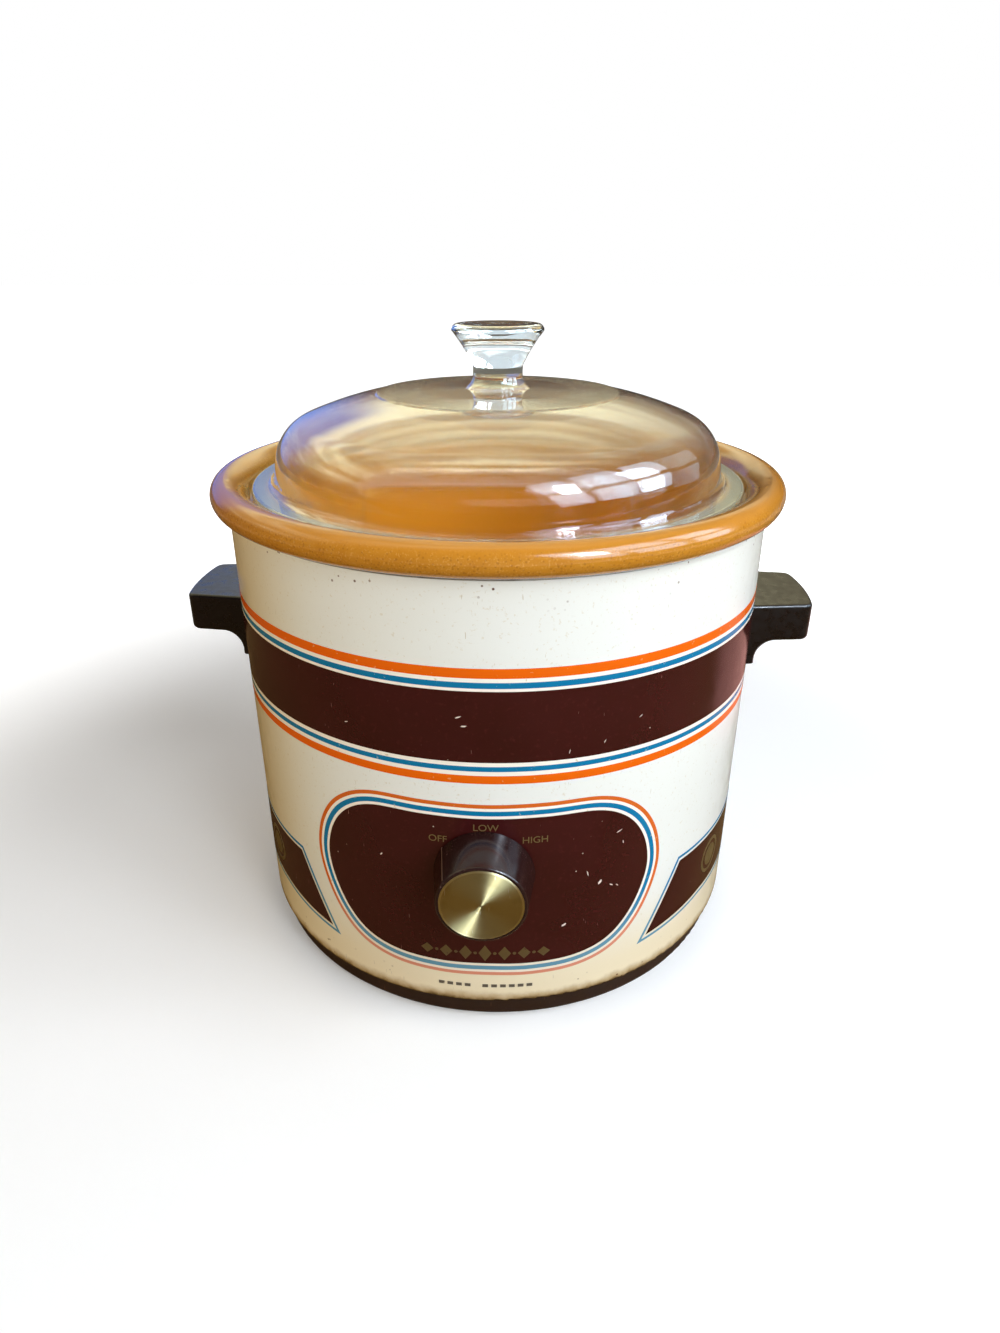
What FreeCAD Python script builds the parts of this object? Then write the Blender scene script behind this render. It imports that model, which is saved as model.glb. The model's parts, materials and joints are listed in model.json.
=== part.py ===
"""Round slow cooker: enamelled heating base, stoneware crock, pressed-glass lid, rotary heat dial.

Frame: +Z up, the pot's axis is Z, the floor is z = 0, the dial faces -Y and the handles lie on X.
"""
import FreeCAD
import Part
import Sketcher
import math
import os

from FreeCAD import Placement, Rotation, Vector

# Driving dimensions in millimetres (angles in degrees). "reach" is a distance from the pot's axis,
# "level" is a height above the floor.
DIMENSIONS = {
    # shell
    "shell_radius": 110.0,
    "shell_sheet": 0.7,
    "shell_low": 11.2,
    "shell_high": 190.2,
    "shell_curl": 2.4,
    "shell_lip_radius": 105.6,
    # base pan and feet
    "pan_radius": 107.3,
    "pan_low": 1.5,
    "pan_wall": 2.2,
    "pan_round": 3.0,
    "pan_shoulder": 2.0,
    "pan_spigot_high": 15.0,
    "dish_radius": 13.0,
    "dish_slope": 1.5,
    "dish_level": 8.0,
    "foot_radius": 8.0,
    "foot_ring": 88.0,
    "foot_neck": 2.9,
    "foot_head": 4.2,
    "foot_head_height": 2.4,
    "foot_edge": 0.5,
    # heating well and its tie rod
    "well_radius": 98.6,
    "well_sheet": 0.8,
    "well_low": 54.5,
    "well_corner": 30.0,
    "well_flange_round": 3.0,
    "well_flange_radius": 109.9,
    "stud_radius": 2.5,
    "stud_low": 3.0,
    "stud_pad_radius": 5.0,
    "stud_pad_height": 1.2,
    "stud_clearance": 0.2,
    "tie_washer_radius": 7.0,
    "tie_washer_height": 1.0,
    "tie_nut_flats": 8.0,
    "tie_nut_height": 3.2,
    "cap_radius": 9.5,
    "cap_inside": 7.3,
    "cap_floor": 2.0,
    "thread_clearance": 0.05,
    # heater
    "heater_low": 92.0,
    "heater_high": 152.0,
    "heater_inner": 98.65,
    "heater_outer": 101.0,
    "heater_gap": 8.0,
    "clamp_inner": 101.05,
    "clamp_sheet": 0.5,
    "clamp_low": 118.0,
    "clamp_high": 126.0,
    "clamp_half_gap": 5.0,
    "lug_sheet": 0.8,
    "lug_high_reach": 107.6,
    "draw_screw_radius": 1.5,
    "draw_screw_reach": 105.0,
    "draw_screw_tail": 10.0,
    "draw_screw_head": 2.8,
    "draw_screw_head_height": 2.2,
    "draw_nut_flats": 5.0,
    "draw_nut_height": 2.2,
    "tab_width": 6.3,
    "tab_sheet": 0.8,
    "tab_low": 68.0,
    "tab_high": 98.0,
    "tab_low_angle": 35.0,
    "tab_high_angle": 55.0,
    "tab_neutral_angle": 125.0,
    # dial switch, measured along its own shaft
    "dial_level": 76.6,
    "case_width": 26.0,
    "case_height": 22.0,
    "case_back": 100.6,
    "case_front": 108.0,
    "case_floor": 106.4,
    "cavity_width": 20.0,
    "cavity_height": 18.0,
    "cover_sheet": 1.0,
    "slot_depth": 1.0,
    "slot_height": 4.4,
    "blade_gap": 0.1,
    "blade_height": 4.0,
    "blade_inner": 6.0,
    "blade_outer": 19.0,
    "blade_spread": 5.0,
    "shaft_radius": 3.0,
    "shaft_clearance": 0.05,
    "shaft_front": 122.5,
    "shaft_shoulder": 102.7,
    "pivot_radius": 2.0,
    "pivot_back": 99.9,
    "flat_back": 114.0,
    "flat_offset": 2.0,
    "rotor_radius": 7.6,
    "rotor_height": 3.2,
    "notch_radius": 1.2,
    "notch_ring": 8.0,
    "detent_step": 55.0,
    "leaf_low": 8.2,
    "leaf_sheet": 0.4,
    "leaf_half": 8.0,
    "leaf_bump_half": 2.0,
    "leaf_bump": 0.35,
    "leaf_back": 103.2,
    "leaf_front": 105.4,
    "bushing_flange": 6.5,
    "bushing_flange_height": 1.0,
    "bushing_radius": 4.5,
    "bushing_front": 113.2,
    "bushing_hole": 4.8,
    "dial_nut_flats": 12.0,
    "dial_nut_back": 110.05,
    "dial_nut_front": 112.4,
    # knob
    "knob_back": 110.4,
    "knob_back_radius": 18.8,
    "knob_front": 127.8,
    "knob_front_radius": 16.5,
    "knob_edge": 0.9,
    "knob_wall": 2.2,
    "knob_face": 3.0,
    "hub_radius": 6.0,
    "hub_back": 114.6,
    "hub_bore": 3.02,
    "hub_bore_front": 123.2,
    "disc_radius": 15.2,
    "disc_recess": 0.7,
    "disc_clearance": 0.1,
    "disc_crown": 0.35,
    "clip_half": 1.6,
    "clip_sheet": 0.31,
    "clip_back": 114.8,
    "clip_front": 122.0,
    # handles
    "handle_top": 149.2,
    "handle_low": 132.7,
    "handle_reach": 135.0,
    "handle_end_round": 105.0,
    "handle_tip_half": 20.8,
    "handle_taper": 6.0,
    "handle_corner": 4.0,
    "handle_sweep": 8.0,
    "stem_reach": 111.2,
    "stem_low": 122.6,
    "handle_edge": 1.3,
    "handle_low_edge": 2.2,
    "screw_level": 141.0,
    "screw_half_spread": 11.0,
    "screw_radius": 2.0,
    "screw_clearance": 0.1,
    "screw_depth": 124.0,
    "screw_head_radius": 3.6,
    "screw_head_height": 2.2,
    "saddle_radius": 5.0,
    "saddle_back": 105.5,
    "saddle_gap": 0.05,
    # cord entry and terminals
    "cord_level": 32.0,
    "cord_bore": 3.6,
    "cord_neck": 6.0,
    "cord_flange": 8.2,
    "cord_flange_height": 2.6,
    "cord_flange_edge": 0.8,
    "cord_back": 104.6,
    "cord_nut_radius": 7.4,
    "cord_nut_back": 105.4,
    "cord_nut_front": 108.8,
    "block_width": 26.0,
    "block_low": 68.0,
    "block_high": 86.0,
    "block_back": 99.8,
    "block_wall_gap": 0.1,
    "clamp_bore": 1.7,
    "grub_radius": 1.5,
    "grub_height": 6.0,
    "grub_proud": 0.8,
    "grub_half_spread": 5.5,
    "rivet_half_spread": 9.5,
    "rivet_radius": 1.5,
    "rivet_head": 3.0,
    "rivet_head_height": 1.2,
    "rivet_clearance": 0.1,
    "rivet_tail": 2.9,
    "rivet_tail_height": 0.5,
    "lead_reach": 103.4,
    "lead_radius": 1.2,
    "lead_end_gap": 0.2,
    # crock
    "crock_radius": 97.2,
    "crock_wall": 7.2,
    "crock_low": 58.0,
    "crock_floor": 8.0,
    "crock_corner": 28.2,
    "crock_inner_corner": 22.0,
    "rim_gap": 0.3,
    "rim_root_round": 3.2,
    "rim_centre": 110.6,
    "rim_round": 5.8,
    "rim_inner_round": 9.0,
    "recess_level": 194.5,
    "recess_radius": 101.9,
    "recess_shoulder_level": 197.0,
    "recess_shoulder_step": 0.5,
    "recess_lip_round": 3.0,
    # lid
    "lid_gap": 0.3,
    "lid_radius": 100.7,
    "lid_flange": 3.8,
    "lid_edge": 1.5,
    "lid_glass": 3.6,
    "dome_root_radius": 94.0,
    "dome_side_radius": 91.2,
    "dome_root_rise": 3.4,
    "dome_radius": 90.4,
    "dome_level": 207.5,
    "shoulder_round": 18.7,
    "shoulder_radius": 77.5,
    "shoulder_level": 222.9,
    "crown_round": 150.0,
    "plateau_radius": 49.3,
    "plateau_level": 231.0,
    "plateau_step": 0.6,
    "plateau_bevel": 0.7,
    "ring_radius": 29.8,
    "ring_level": 232.4,
    "neck_foot_radius": 13.4,
    "neck_foot_level": 232.9,
    "neck_radius": 10.0,
    "neck_low": 237.6,
    "neck_high": 241.2,
    "neck_foot_round": 5.6,
    "grip_radius": 18.3,
    "grip_level": 254.4,
    "grip_edge": 2.4,
    "grip_top": 257.0,
    "grip_dish": 0.5,
    "grip_sweep": 60.0,
}

doc = FreeCAD.newDocument("SlowCooker")
sheet = doc.addObject("Spreadsheet::Sheet", "Sizes")
for row, (alias, value) in enumerate(DIMENSIONS.items(), start=1):
    sheet.set(f"A{row}", alias)
    sheet.set(f"B{row}", str(value))
    sheet.setAlias(f"B{row}", alias)
doc.recompute()


class Size:
    """A number together with the sheet expression that it comes from."""

    def __init__(self, value, text):
        self.value = value
        self.text = text

    def __add__(self, other):
        other = as_size(other)
        return Size(self.value + other.value, f"({self.text} + {other.text})")

    def __sub__(self, other):
        other = as_size(other)
        return Size(self.value - other.value, f"({self.text} - {other.text})")

    def __mul__(self, other):
        other = as_size(other)
        return Size(self.value * other.value, f"({self.text} * {other.text})")

    def __truediv__(self, other):
        other = as_size(other)
        return Size(self.value / other.value, f"({self.text} / {other.text})")

    def __neg__(self):
        return Size(-self.value, f"(0 - {self.text})")

    def __radd__(self, other):
        return as_size(other) + self

    def __rsub__(self, other):
        return as_size(other) - self

    def __rmul__(self, other):
        return as_size(other) * self


def square_root(size):
    return Size(math.sqrt(size.value), f"sqrt({size.text})")


def as_size(item):
    """Return a Size, whether item is one already or a plain number."""
    if isinstance(item, Size):
        return item
    return Size(float(item), f"({item})")


class Cells:
    """The sheet's aliases as attributes, each one a Size."""

    def __getattr__(self, alias):
        return Size(float(sheet.get(alias)), f"Sizes.{alias}")


s = Cells()


def bind(target, path, size):
    """Bind one property of an object to the sheet."""
    target.setExpression(path, as_size(size).text)


def place(target, x=0, y=0, z=0, rotation=None):
    """Give an object its Placement, with its position bound to the sheet."""
    corner = [as_size(item) for item in (x, y, z)]
    turn = rotation or Rotation()
    target.Placement = Placement(Vector(*[item.value for item in corner]), turn)
    for axis, item in zip("xyz", corner):
        if item.value:
            bind(target, f"Placement.Base.{axis}", item)
    return target


def outward(angle):
    """Turn local Z to point away from the pot's axis, local Y up. Angle 0 is the front, 90 is +X."""
    return Rotation(Vector(0, 0, 1), angle) * Rotation(Vector(1, 0, 0), 90)


# ---------------------------------------------------------------- sketches and PartDesign features

def new_body(label):
    body = doc.addObject("PartDesign::Body", label)
    body.Label = label
    return body


def origin_plane(body, role):
    for feature in body.Origin.OriginFeatures:
        if feature.Role == role:
            return feature
    raise ValueError(f"{body.Label} has no plane {role}")


def pin_point(sketch, geometry, position, x, y):
    """Hold one point of a sketch at (x, y), both bound to the sheet."""
    for kind, item in (("DistanceX", x), ("DistanceY", y)):
        size = as_size(item)
        index = sketch.addConstraint(Sketcher.Constraint(kind, -1, 1, geometry, position, size.value))
        if size.value:
            sketch.setExpression(f"Constraints[{index}]", size.text)


def arc_between(start, end, radius, counterclockwise):
    """The shorter arc of a given radius from start to end."""
    chord = end - start
    middle = (start + end) * 0.5
    rise = math.sqrt(max(radius * radius - chord.Length * chord.Length / 4, 0.0))
    side = Vector(-chord.y, chord.x, 0).normalize()
    centre = middle + side * (rise if counterclockwise else -rise)
    first, last = (start, end) if counterclockwise else (end, start)
    circle = Part.Circle(centre, Vector(0, 0, 1), radius)
    low = math.atan2(first.y - centre.y, first.x - centre.x)
    high = math.atan2(last.y - centre.y, last.x - centre.x)
    if high < low:
        high += 2 * math.pi
    return Part.ArcOfCircle(circle, low, high)


def draw_outline(sketch, outline):
    """Draw a closed outline.

    A corner is (x, y), reached by a straight line, or (x, y, radius, "left" or "right"), reached
    by an arc that bends that way. Every corner and radius is bound to the sheet.
    """
    points = [Vector(as_size(corner[0]).value, as_size(corner[1]).value, 0) for corner in outline]
    edges = []
    for index, corner in enumerate(outline):
        start = points[index - 1]
        end = points[index]
        if len(corner) == 2:
            geometry = sketch.addGeometry(Part.LineSegment(start, end), False)
            edges.append((geometry, 1, 2))
            continue
        radius = as_size(corner[2])
        leftward = corner[3] == "left"
        geometry = sketch.addGeometry(arc_between(start, end, radius.value, leftward), False)
        edges.append((geometry, 1, 2) if leftward else (geometry, 2, 1))
        limit = sketch.addConstraint(Sketcher.Constraint("Radius", geometry, radius.value))
        sketch.setExpression(f"Constraints[{limit}]", radius.text)
    for index, corner in enumerate(outline):
        this_edge = edges[index]
        next_edge = edges[(index + 1) % len(edges)]
        sketch.addConstraint(
            Sketcher.Constraint("Coincident", this_edge[0], this_edge[2], next_edge[0], next_edge[1]))
        pin_point(sketch, this_edge[0], this_edge[2], corner[0], corner[1])


def draw_circle(sketch, x, y, radius):
    size = as_size(radius)
    centre = Vector(as_size(x).value, as_size(y).value, 0)
    geometry = sketch.addGeometry(Part.Circle(centre, Vector(0, 0, 1), size.value), False)
    limit = sketch.addConstraint(Sketcher.Constraint("Radius", geometry, size.value))
    sketch.setExpression(f"Constraints[{limit}]", size.text)
    pin_point(sketch, geometry, 3, x, y)


def new_sketch(body, role, offset=0):
    """A sketch on one of the body's origin planes, moved along the plane's normal."""
    sketch = body.newObject("Sketcher::SketchObject", f"{body.Label}_sketch")
    sketch.AttachmentSupport = [(origin_plane(body, role), "")]
    sketch.MapMode = "FlatFace"
    size = as_size(offset)
    if size.value:
        sketch.AttachmentOffset = Placement(Vector(0, 0, size.value), Rotation())
        bind(sketch, "AttachmentOffset.Base.z", size)
    return sketch


def turn_profile(body, outline, kind="Revolution"):
    """Turn an outline in the XZ plane about Z, as a Revolution or as a Groove."""
    sketch = new_sketch(body, "XZ_Plane")
    draw_outline(sketch, outline)
    feature = body.newObject(f"PartDesign::{kind}", f"{body.Label}_{kind.lower()}")
    feature.Profile = sketch
    feature.ReferenceAxis = (sketch, ["V_Axis"])
    feature.Angle = 360
    body.Tip = feature
    doc.recompute()
    return feature


def pad(body, outlines, low, high):
    """Add a prism on the XY plane between two heights."""
    sketch = new_sketch(body, "XY_Plane", low)
    for outline in outlines:
        draw_outline(sketch, outline)
    feature = body.newObject("PartDesign::Pad", f"{body.Label}_pad")
    feature.Profile = sketch
    bind(feature, "Length", high - low)
    body.Tip = feature
    doc.recompute()
    return feature


def pocket(body, outlines, low, high):
    """Cut a prism on the XY plane between two heights."""
    sketch = new_sketch(body, "XY_Plane", high)
    for outline in outlines:
        draw_outline(sketch, outline)
    return cut(body, sketch, high - low)


def drill(body, role, circles, length, reverse=False, offset=0):
    """Cut round holes, given as (x, y, radius), from an origin plane."""
    sketch = new_sketch(body, role, offset)
    for x, y, radius in circles:
        draw_circle(sketch, x, y, radius)
    return cut(body, sketch, length, reverse)


def cut(body, sketch, length, reverse=False):
    before = body.Tip.Shape.Volume
    feature = body.newObject("PartDesign::Pocket", f"{body.Label}_pocket")
    feature.Profile = sketch
    feature.Reversed = reverse
    bind(feature, "Length", length)
    body.Tip = feature
    doc.recompute()
    if feature.Shape.Volume > before - 1e-3:
        raise RuntimeError(f"{feature.Name} cuts nothing")
    return feature


def box_outline(left, right, low, high):
    return [(right, low), (right, high), (left, high), (left, low)]


def hexagon(flats):
    """A hexagon's corners, from the distance across its flats."""
    corner = flats / math.sqrt(3)
    turns = [math.radians(60 * step) for step in range(6)]
    return [(corner * math.cos(turn), corner * math.sin(turn)) for turn in turns]


# ------------------------------------------------------------------------ Part workbench features

def cylinder(name, radius, length, x=0, y=0, z=0, rotation=None):
    rod = doc.addObject("Part::Cylinder", name)
    bind(rod, "Radius", radius)
    bind(rod, "Height", length)
    return place(rod, x, y, z, rotation)


def cuboid(name, length, width, height, x=0, y=0, z=0, rotation=None):
    box = doc.addObject("Part::Box", name)
    bind(box, "Length", length)
    bind(box, "Width", width)
    bind(box, "Height", height)
    return place(box, x, y, z, rotation)


def fuse(name, shapes):
    joined = doc.addObject("Part::MultiFuse", name)
    joined.Shapes = shapes
    return joined


def subtract(name, base, tool):
    left = doc.addObject("Part::Cut", name)
    left.Base = base
    left.Tool = tool
    return left


def common(name, base, tool):
    shared = doc.addObject("Part::Common", name)
    shared.Base = base
    shared.Tool = tool
    return shared


def group(label, pieces):
    """Several separate solids as one sub-part."""
    whole = doc.addObject("Part::Compound", label)
    whole.Label = label
    whole.Links = pieces
    return whole


def split_ring(name, inner, outer, low, high, gap):
    """A ring about Z with an open gap, given in degrees, centred on +Y."""
    gap = as_size(gap)
    after_gap = Rotation(Vector(0, 0, 1), 90 + gap.value / 2)
    whole = cylinder(f"{name}_outside", outer, high - low, z=low, rotation=after_gap)
    bind(whole, "Angle", 360 - gap)
    hole = cylinder(f"{name}_inside", inner, high - low, z=low)
    ring = subtract(name, whole, hole)
    ring.Label = name
    return ring


# ---------------------------------------------------------------------------- shell, base and feet

# The feet stand on the X and Y axes.
FOOT_DIRECTIONS = ((1, 0), (0, 1), (-1, 0), (0, -1))


def make_outer_shell():
    """A straight steel drum whose lower edge curls in over the base pan."""
    body = new_body("outer_shell")
    inside = s.shell_radius - s.shell_sheet
    curl_reach = s.shell_radius - s.shell_curl
    turn_profile(body, [
        (s.shell_lip_radius, s.shell_low),
        (curl_reach, s.shell_low),
        (s.shell_radius, s.shell_low + s.shell_curl, s.shell_curl, "left"),
        (s.shell_radius, s.shell_high),
        (inside, s.shell_high),
        (inside, s.shell_low + s.shell_curl),
        (curl_reach, s.shell_low + s.shell_sheet, s.shell_curl - s.shell_sheet, "right"),
        (s.shell_lip_radius, s.shell_low + s.shell_sheet),
    ])
    through = s.shell_radius + s.shell_curl
    drill(body, "XZ_Plane", [(0, s.dial_level, s.bushing_hole)], through, reverse=True)
    half = s.cord_neck + s.rivet_clearance
    cord_hole = new_sketch(body, "XZ_Plane")
    draw_outline(cord_hole, box_outline(-half, half, s.cord_level - half, s.cord_level + half))
    cut(body, cord_hole, through)
    rivet_hole = s.rivet_radius + s.rivet_clearance
    drill(body, "XZ_Plane", [
        (-s.rivet_half_spread, (s.block_low + s.block_high) / 2, rivet_hole),
        (s.rivet_half_spread, (s.block_low + s.block_high) / 2, rivet_hole),
    ], through)
    screw_hole = s.screw_radius + s.screw_clearance
    screw_holes = [(side * s.screw_half_spread, s.screw_level, screw_hole) for side in (-1, 1)]
    for reverse in (False, True):
        drill(body, "YZ_Plane", screw_holes, through, reverse)


def make_base_pan():
    """The moulded floor: a shoulder under the shell, a spigot inside it and a dish for the tie nut."""
    body = new_body("base_pan")
    floor = s.pan_low + s.pan_wall
    spigot = s.pan_radius - s.pan_shoulder
    wall_inside = spigot - s.pan_wall
    hole = s.stud_radius + s.stud_clearance
    dish_outer = s.dish_radius + s.dish_slope
    turn_profile(body, [
        (hole, s.dish_level),
        (s.dish_radius, s.dish_level),
        (dish_outer, s.pan_low),
        (s.pan_radius - s.pan_round, s.pan_low),
        (s.pan_radius, s.pan_low + s.pan_round, s.pan_round, "left"),
        (s.pan_radius, s.shell_low),
        (spigot, s.shell_low),
        (spigot, s.pan_spigot_high),
        (wall_inside, s.pan_spigot_high),
        (wall_inside, floor + s.pan_round),
        (wall_inside - s.pan_round, floor, s.pan_round, "right"),
        (dish_outer + s.pan_wall, floor),
        (s.dish_radius + s.pan_wall, s.dish_level + s.pan_wall),
        (hole, s.dish_level + s.pan_wall),
    ])
    hole = drill(body, "XY_Plane", [(s.foot_ring, 0, s.foot_neck + s.thread_clearance)],
                 floor + s.pan_wall, offset=floor + s.pan_wall)
    repeat_around(body, hole, as_size(len(FOOT_DIRECTIONS)))


def repeat_around(body, feature, count):
    """Repeat a body's feature at equal turns about Z."""
    pattern = body.newObject("PartDesign::PolarPattern", f"{body.Label}_pattern")
    pattern.Originals = [feature]
    pattern.Axis = (feature.Profile[0], ["N_Axis"])
    pattern.Angle = 360
    bind(pattern, "Occurrences", count)
    body.Tip = pattern
    doc.recompute()


def make_rubber_feet():
    """Push-in feet: a pad below the pan, a neck through it and a head that holds it."""
    floor = s.pan_low + s.pan_wall
    feet = []
    for index, (along_x, along_y) in enumerate(FOOT_DIRECTIONS):
        foot = new_body(f"foot_{index}")
        turn_profile(foot, [
            (0, 0),
            (s.foot_radius - s.foot_edge, 0),
            (s.foot_radius, s.foot_edge, s.foot_edge, "left"),
            (s.foot_radius, s.pan_low),
            (s.foot_neck, s.pan_low),
            (s.foot_neck, floor),
            (s.foot_head, floor),
            (s.foot_neck, floor + s.foot_head_height),
            (0, floor + s.foot_head_height),
        ])
        place(foot, along_x * s.foot_ring, along_y * s.foot_ring)
        feet.append(foot)
    group("rubber_feet", feet)


# ------------------------------------------------------------------------- heating well and heater

def make_heating_well():
    """A spun liner: its flange lies on the shell's top edge and carries the crock's rim."""
    body = new_body("heating_well")
    inside = s.well_radius - s.well_sheet
    corner_reach = s.well_radius - s.well_corner
    corner_level = s.well_low + s.well_corner
    flange_top = s.shell_high + s.well_sheet
    turn_profile(body, [
        (0, s.well_low),
        (corner_reach, s.well_low),
        (s.well_radius, corner_level, s.well_corner, "left"),
        (s.well_radius, s.shell_high + s.well_sheet - s.well_flange_round),
        (inside + s.well_flange_round, s.shell_high, s.well_flange_round - s.well_sheet, "right"),
        (s.well_flange_radius, s.shell_high),
        (s.well_flange_radius, flange_top),
        (inside + s.well_flange_round, flange_top),
        (inside, flange_top - s.well_flange_round, s.well_flange_round, "left"),
        (inside, corner_level),
        (corner_reach, s.well_low + s.well_sheet, s.well_corner - s.well_sheet, "right"),
        (0, s.well_low + s.well_sheet),
    ])


def make_well_tie():
    """The stud under the well, which draws well, shell and pan together."""
    stud = new_body("well_stud")
    pad_low = s.well_low - s.stud_pad_height
    turn_profile(stud, [
        (0, s.stud_low),
        (s.stud_radius, s.stud_low),
        (s.stud_radius, pad_low),
        (s.stud_pad_radius, pad_low),
        (s.stud_pad_radius, s.well_low),
        (0, s.well_low),
    ])
    washer = new_body("well_washer")
    washer_low = s.dish_level - s.tie_washer_height
    washer_hole = s.stud_radius + s.stud_clearance
    turn_profile(washer, box_outline(washer_hole, s.tie_washer_radius, washer_low, s.dish_level))
    nut = new_body("well_nut")
    nut_low = washer_low - s.tie_nut_height
    pad(nut, [hexagon(s.tie_nut_flats)], nut_low, washer_low)
    drill(nut, "XY_Plane", [(0, 0, s.stud_radius + s.thread_clearance)], s.dish_level, offset=s.dish_level)


def make_tie_cap():
    """A rubber cup over the tie nut; its underside is level with the feet."""
    cap = new_body("tie_cap")
    turn_profile(cap, [
        (0, 0),
        (s.cap_radius - s.foot_edge, 0),
        (s.cap_radius, s.foot_edge, s.foot_edge, "left"),
        (s.cap_radius, s.dish_level),
        (s.cap_inside, s.dish_level),
        (s.cap_inside, s.cap_floor),
        (0, s.cap_floor),
    ])


def make_heater():
    """A split heating band round the well, three flat tabs on it and the strap that holds it."""
    split_ring("heater_band", s.heater_inner, s.heater_outer, s.heater_low, s.heater_high, s.heater_gap)
    tabs = []
    for name in ("low", "high", "neutral"):
        angle = getattr(s, f"tab_{name}_angle").value
        rotation = outward(angle)
        reach = s.clamp_inner.value
        sideways = rotation.multVec(Vector(-s.tab_width.value / 2, 0, reach))
        tab = cuboid(f"tab_{name}", s.tab_width, s.tab_high - s.tab_low, s.tab_sheet,
                     sideways.x, sideways.y, s.tab_low, rotation)
        tabs.append(tab)
    group("heater_tabs", tabs)

    strap_outer = s.clamp_inner + s.clamp_sheet
    half_turn = math.degrees(math.asin(s.clamp_half_gap.value / s.clamp_inner.value))
    strap = split_ring("strap", s.clamp_inner, strap_outer, s.clamp_low, s.clamp_high, 2 * half_turn)
    height = s.clamp_high - s.clamp_low
    lug_length = s.lug_high_reach - s.clamp_inner
    lugs = [
        cuboid("lug_right", s.lug_sheet, lug_length, height, s.clamp_half_gap, s.clamp_inner, s.clamp_low),
        cuboid("lug_left", s.lug_sheet, lug_length, height,
               -s.clamp_half_gap - s.lug_sheet, s.clamp_inner, s.clamp_low),
    ]
    along_x = Rotation(Vector(0, 1, 0), 90)
    middle = (s.clamp_low + s.clamp_high) / 2
    lug_face = s.clamp_half_gap + s.lug_sheet
    hole = cylinder("lug_hole", s.draw_screw_radius + s.thread_clearance, 2 * lug_face,
                    -lug_face, s.draw_screw_reach, middle, along_x)
    clamp = subtract("heater_clamp", fuse("strap_and_lugs", [strap] + lugs), hole)
    clamp.Label = "heater_clamp"

    shank = cylinder("draw_shank", s.draw_screw_radius, s.draw_screw_tail + lug_face,
                     -s.draw_screw_tail, s.draw_screw_reach, middle, along_x)
    head = cylinder("draw_head", s.draw_screw_head, s.draw_screw_head_height,
                    lug_face, s.draw_screw_reach, middle, along_x)
    fuse("heater_clamp_screw", [shank, head])
    nut = new_body("heater_clamp_nut")
    pad(nut, [hexagon(s.draw_nut_flats)], as_size(0), s.draw_nut_height)
    drill(nut, "XY_Plane", [(0, 0, s.draw_screw_radius + s.thread_clearance)],
          s.draw_nut_height, offset=s.draw_nut_height)
    place(nut, -lug_face - s.draw_nut_height, s.draw_screw_reach, middle, along_x)


# ------------------------------------------------------------------------------ dial switch, knob
# These pieces are drawn about the dial's own shaft: local Z is the reach, local Y is up.

# The dial stops at off, low and high.
CLICKS = 3


def at_dial(piece):
    return place(piece, z=s.dial_level, rotation=outward(0))


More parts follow.
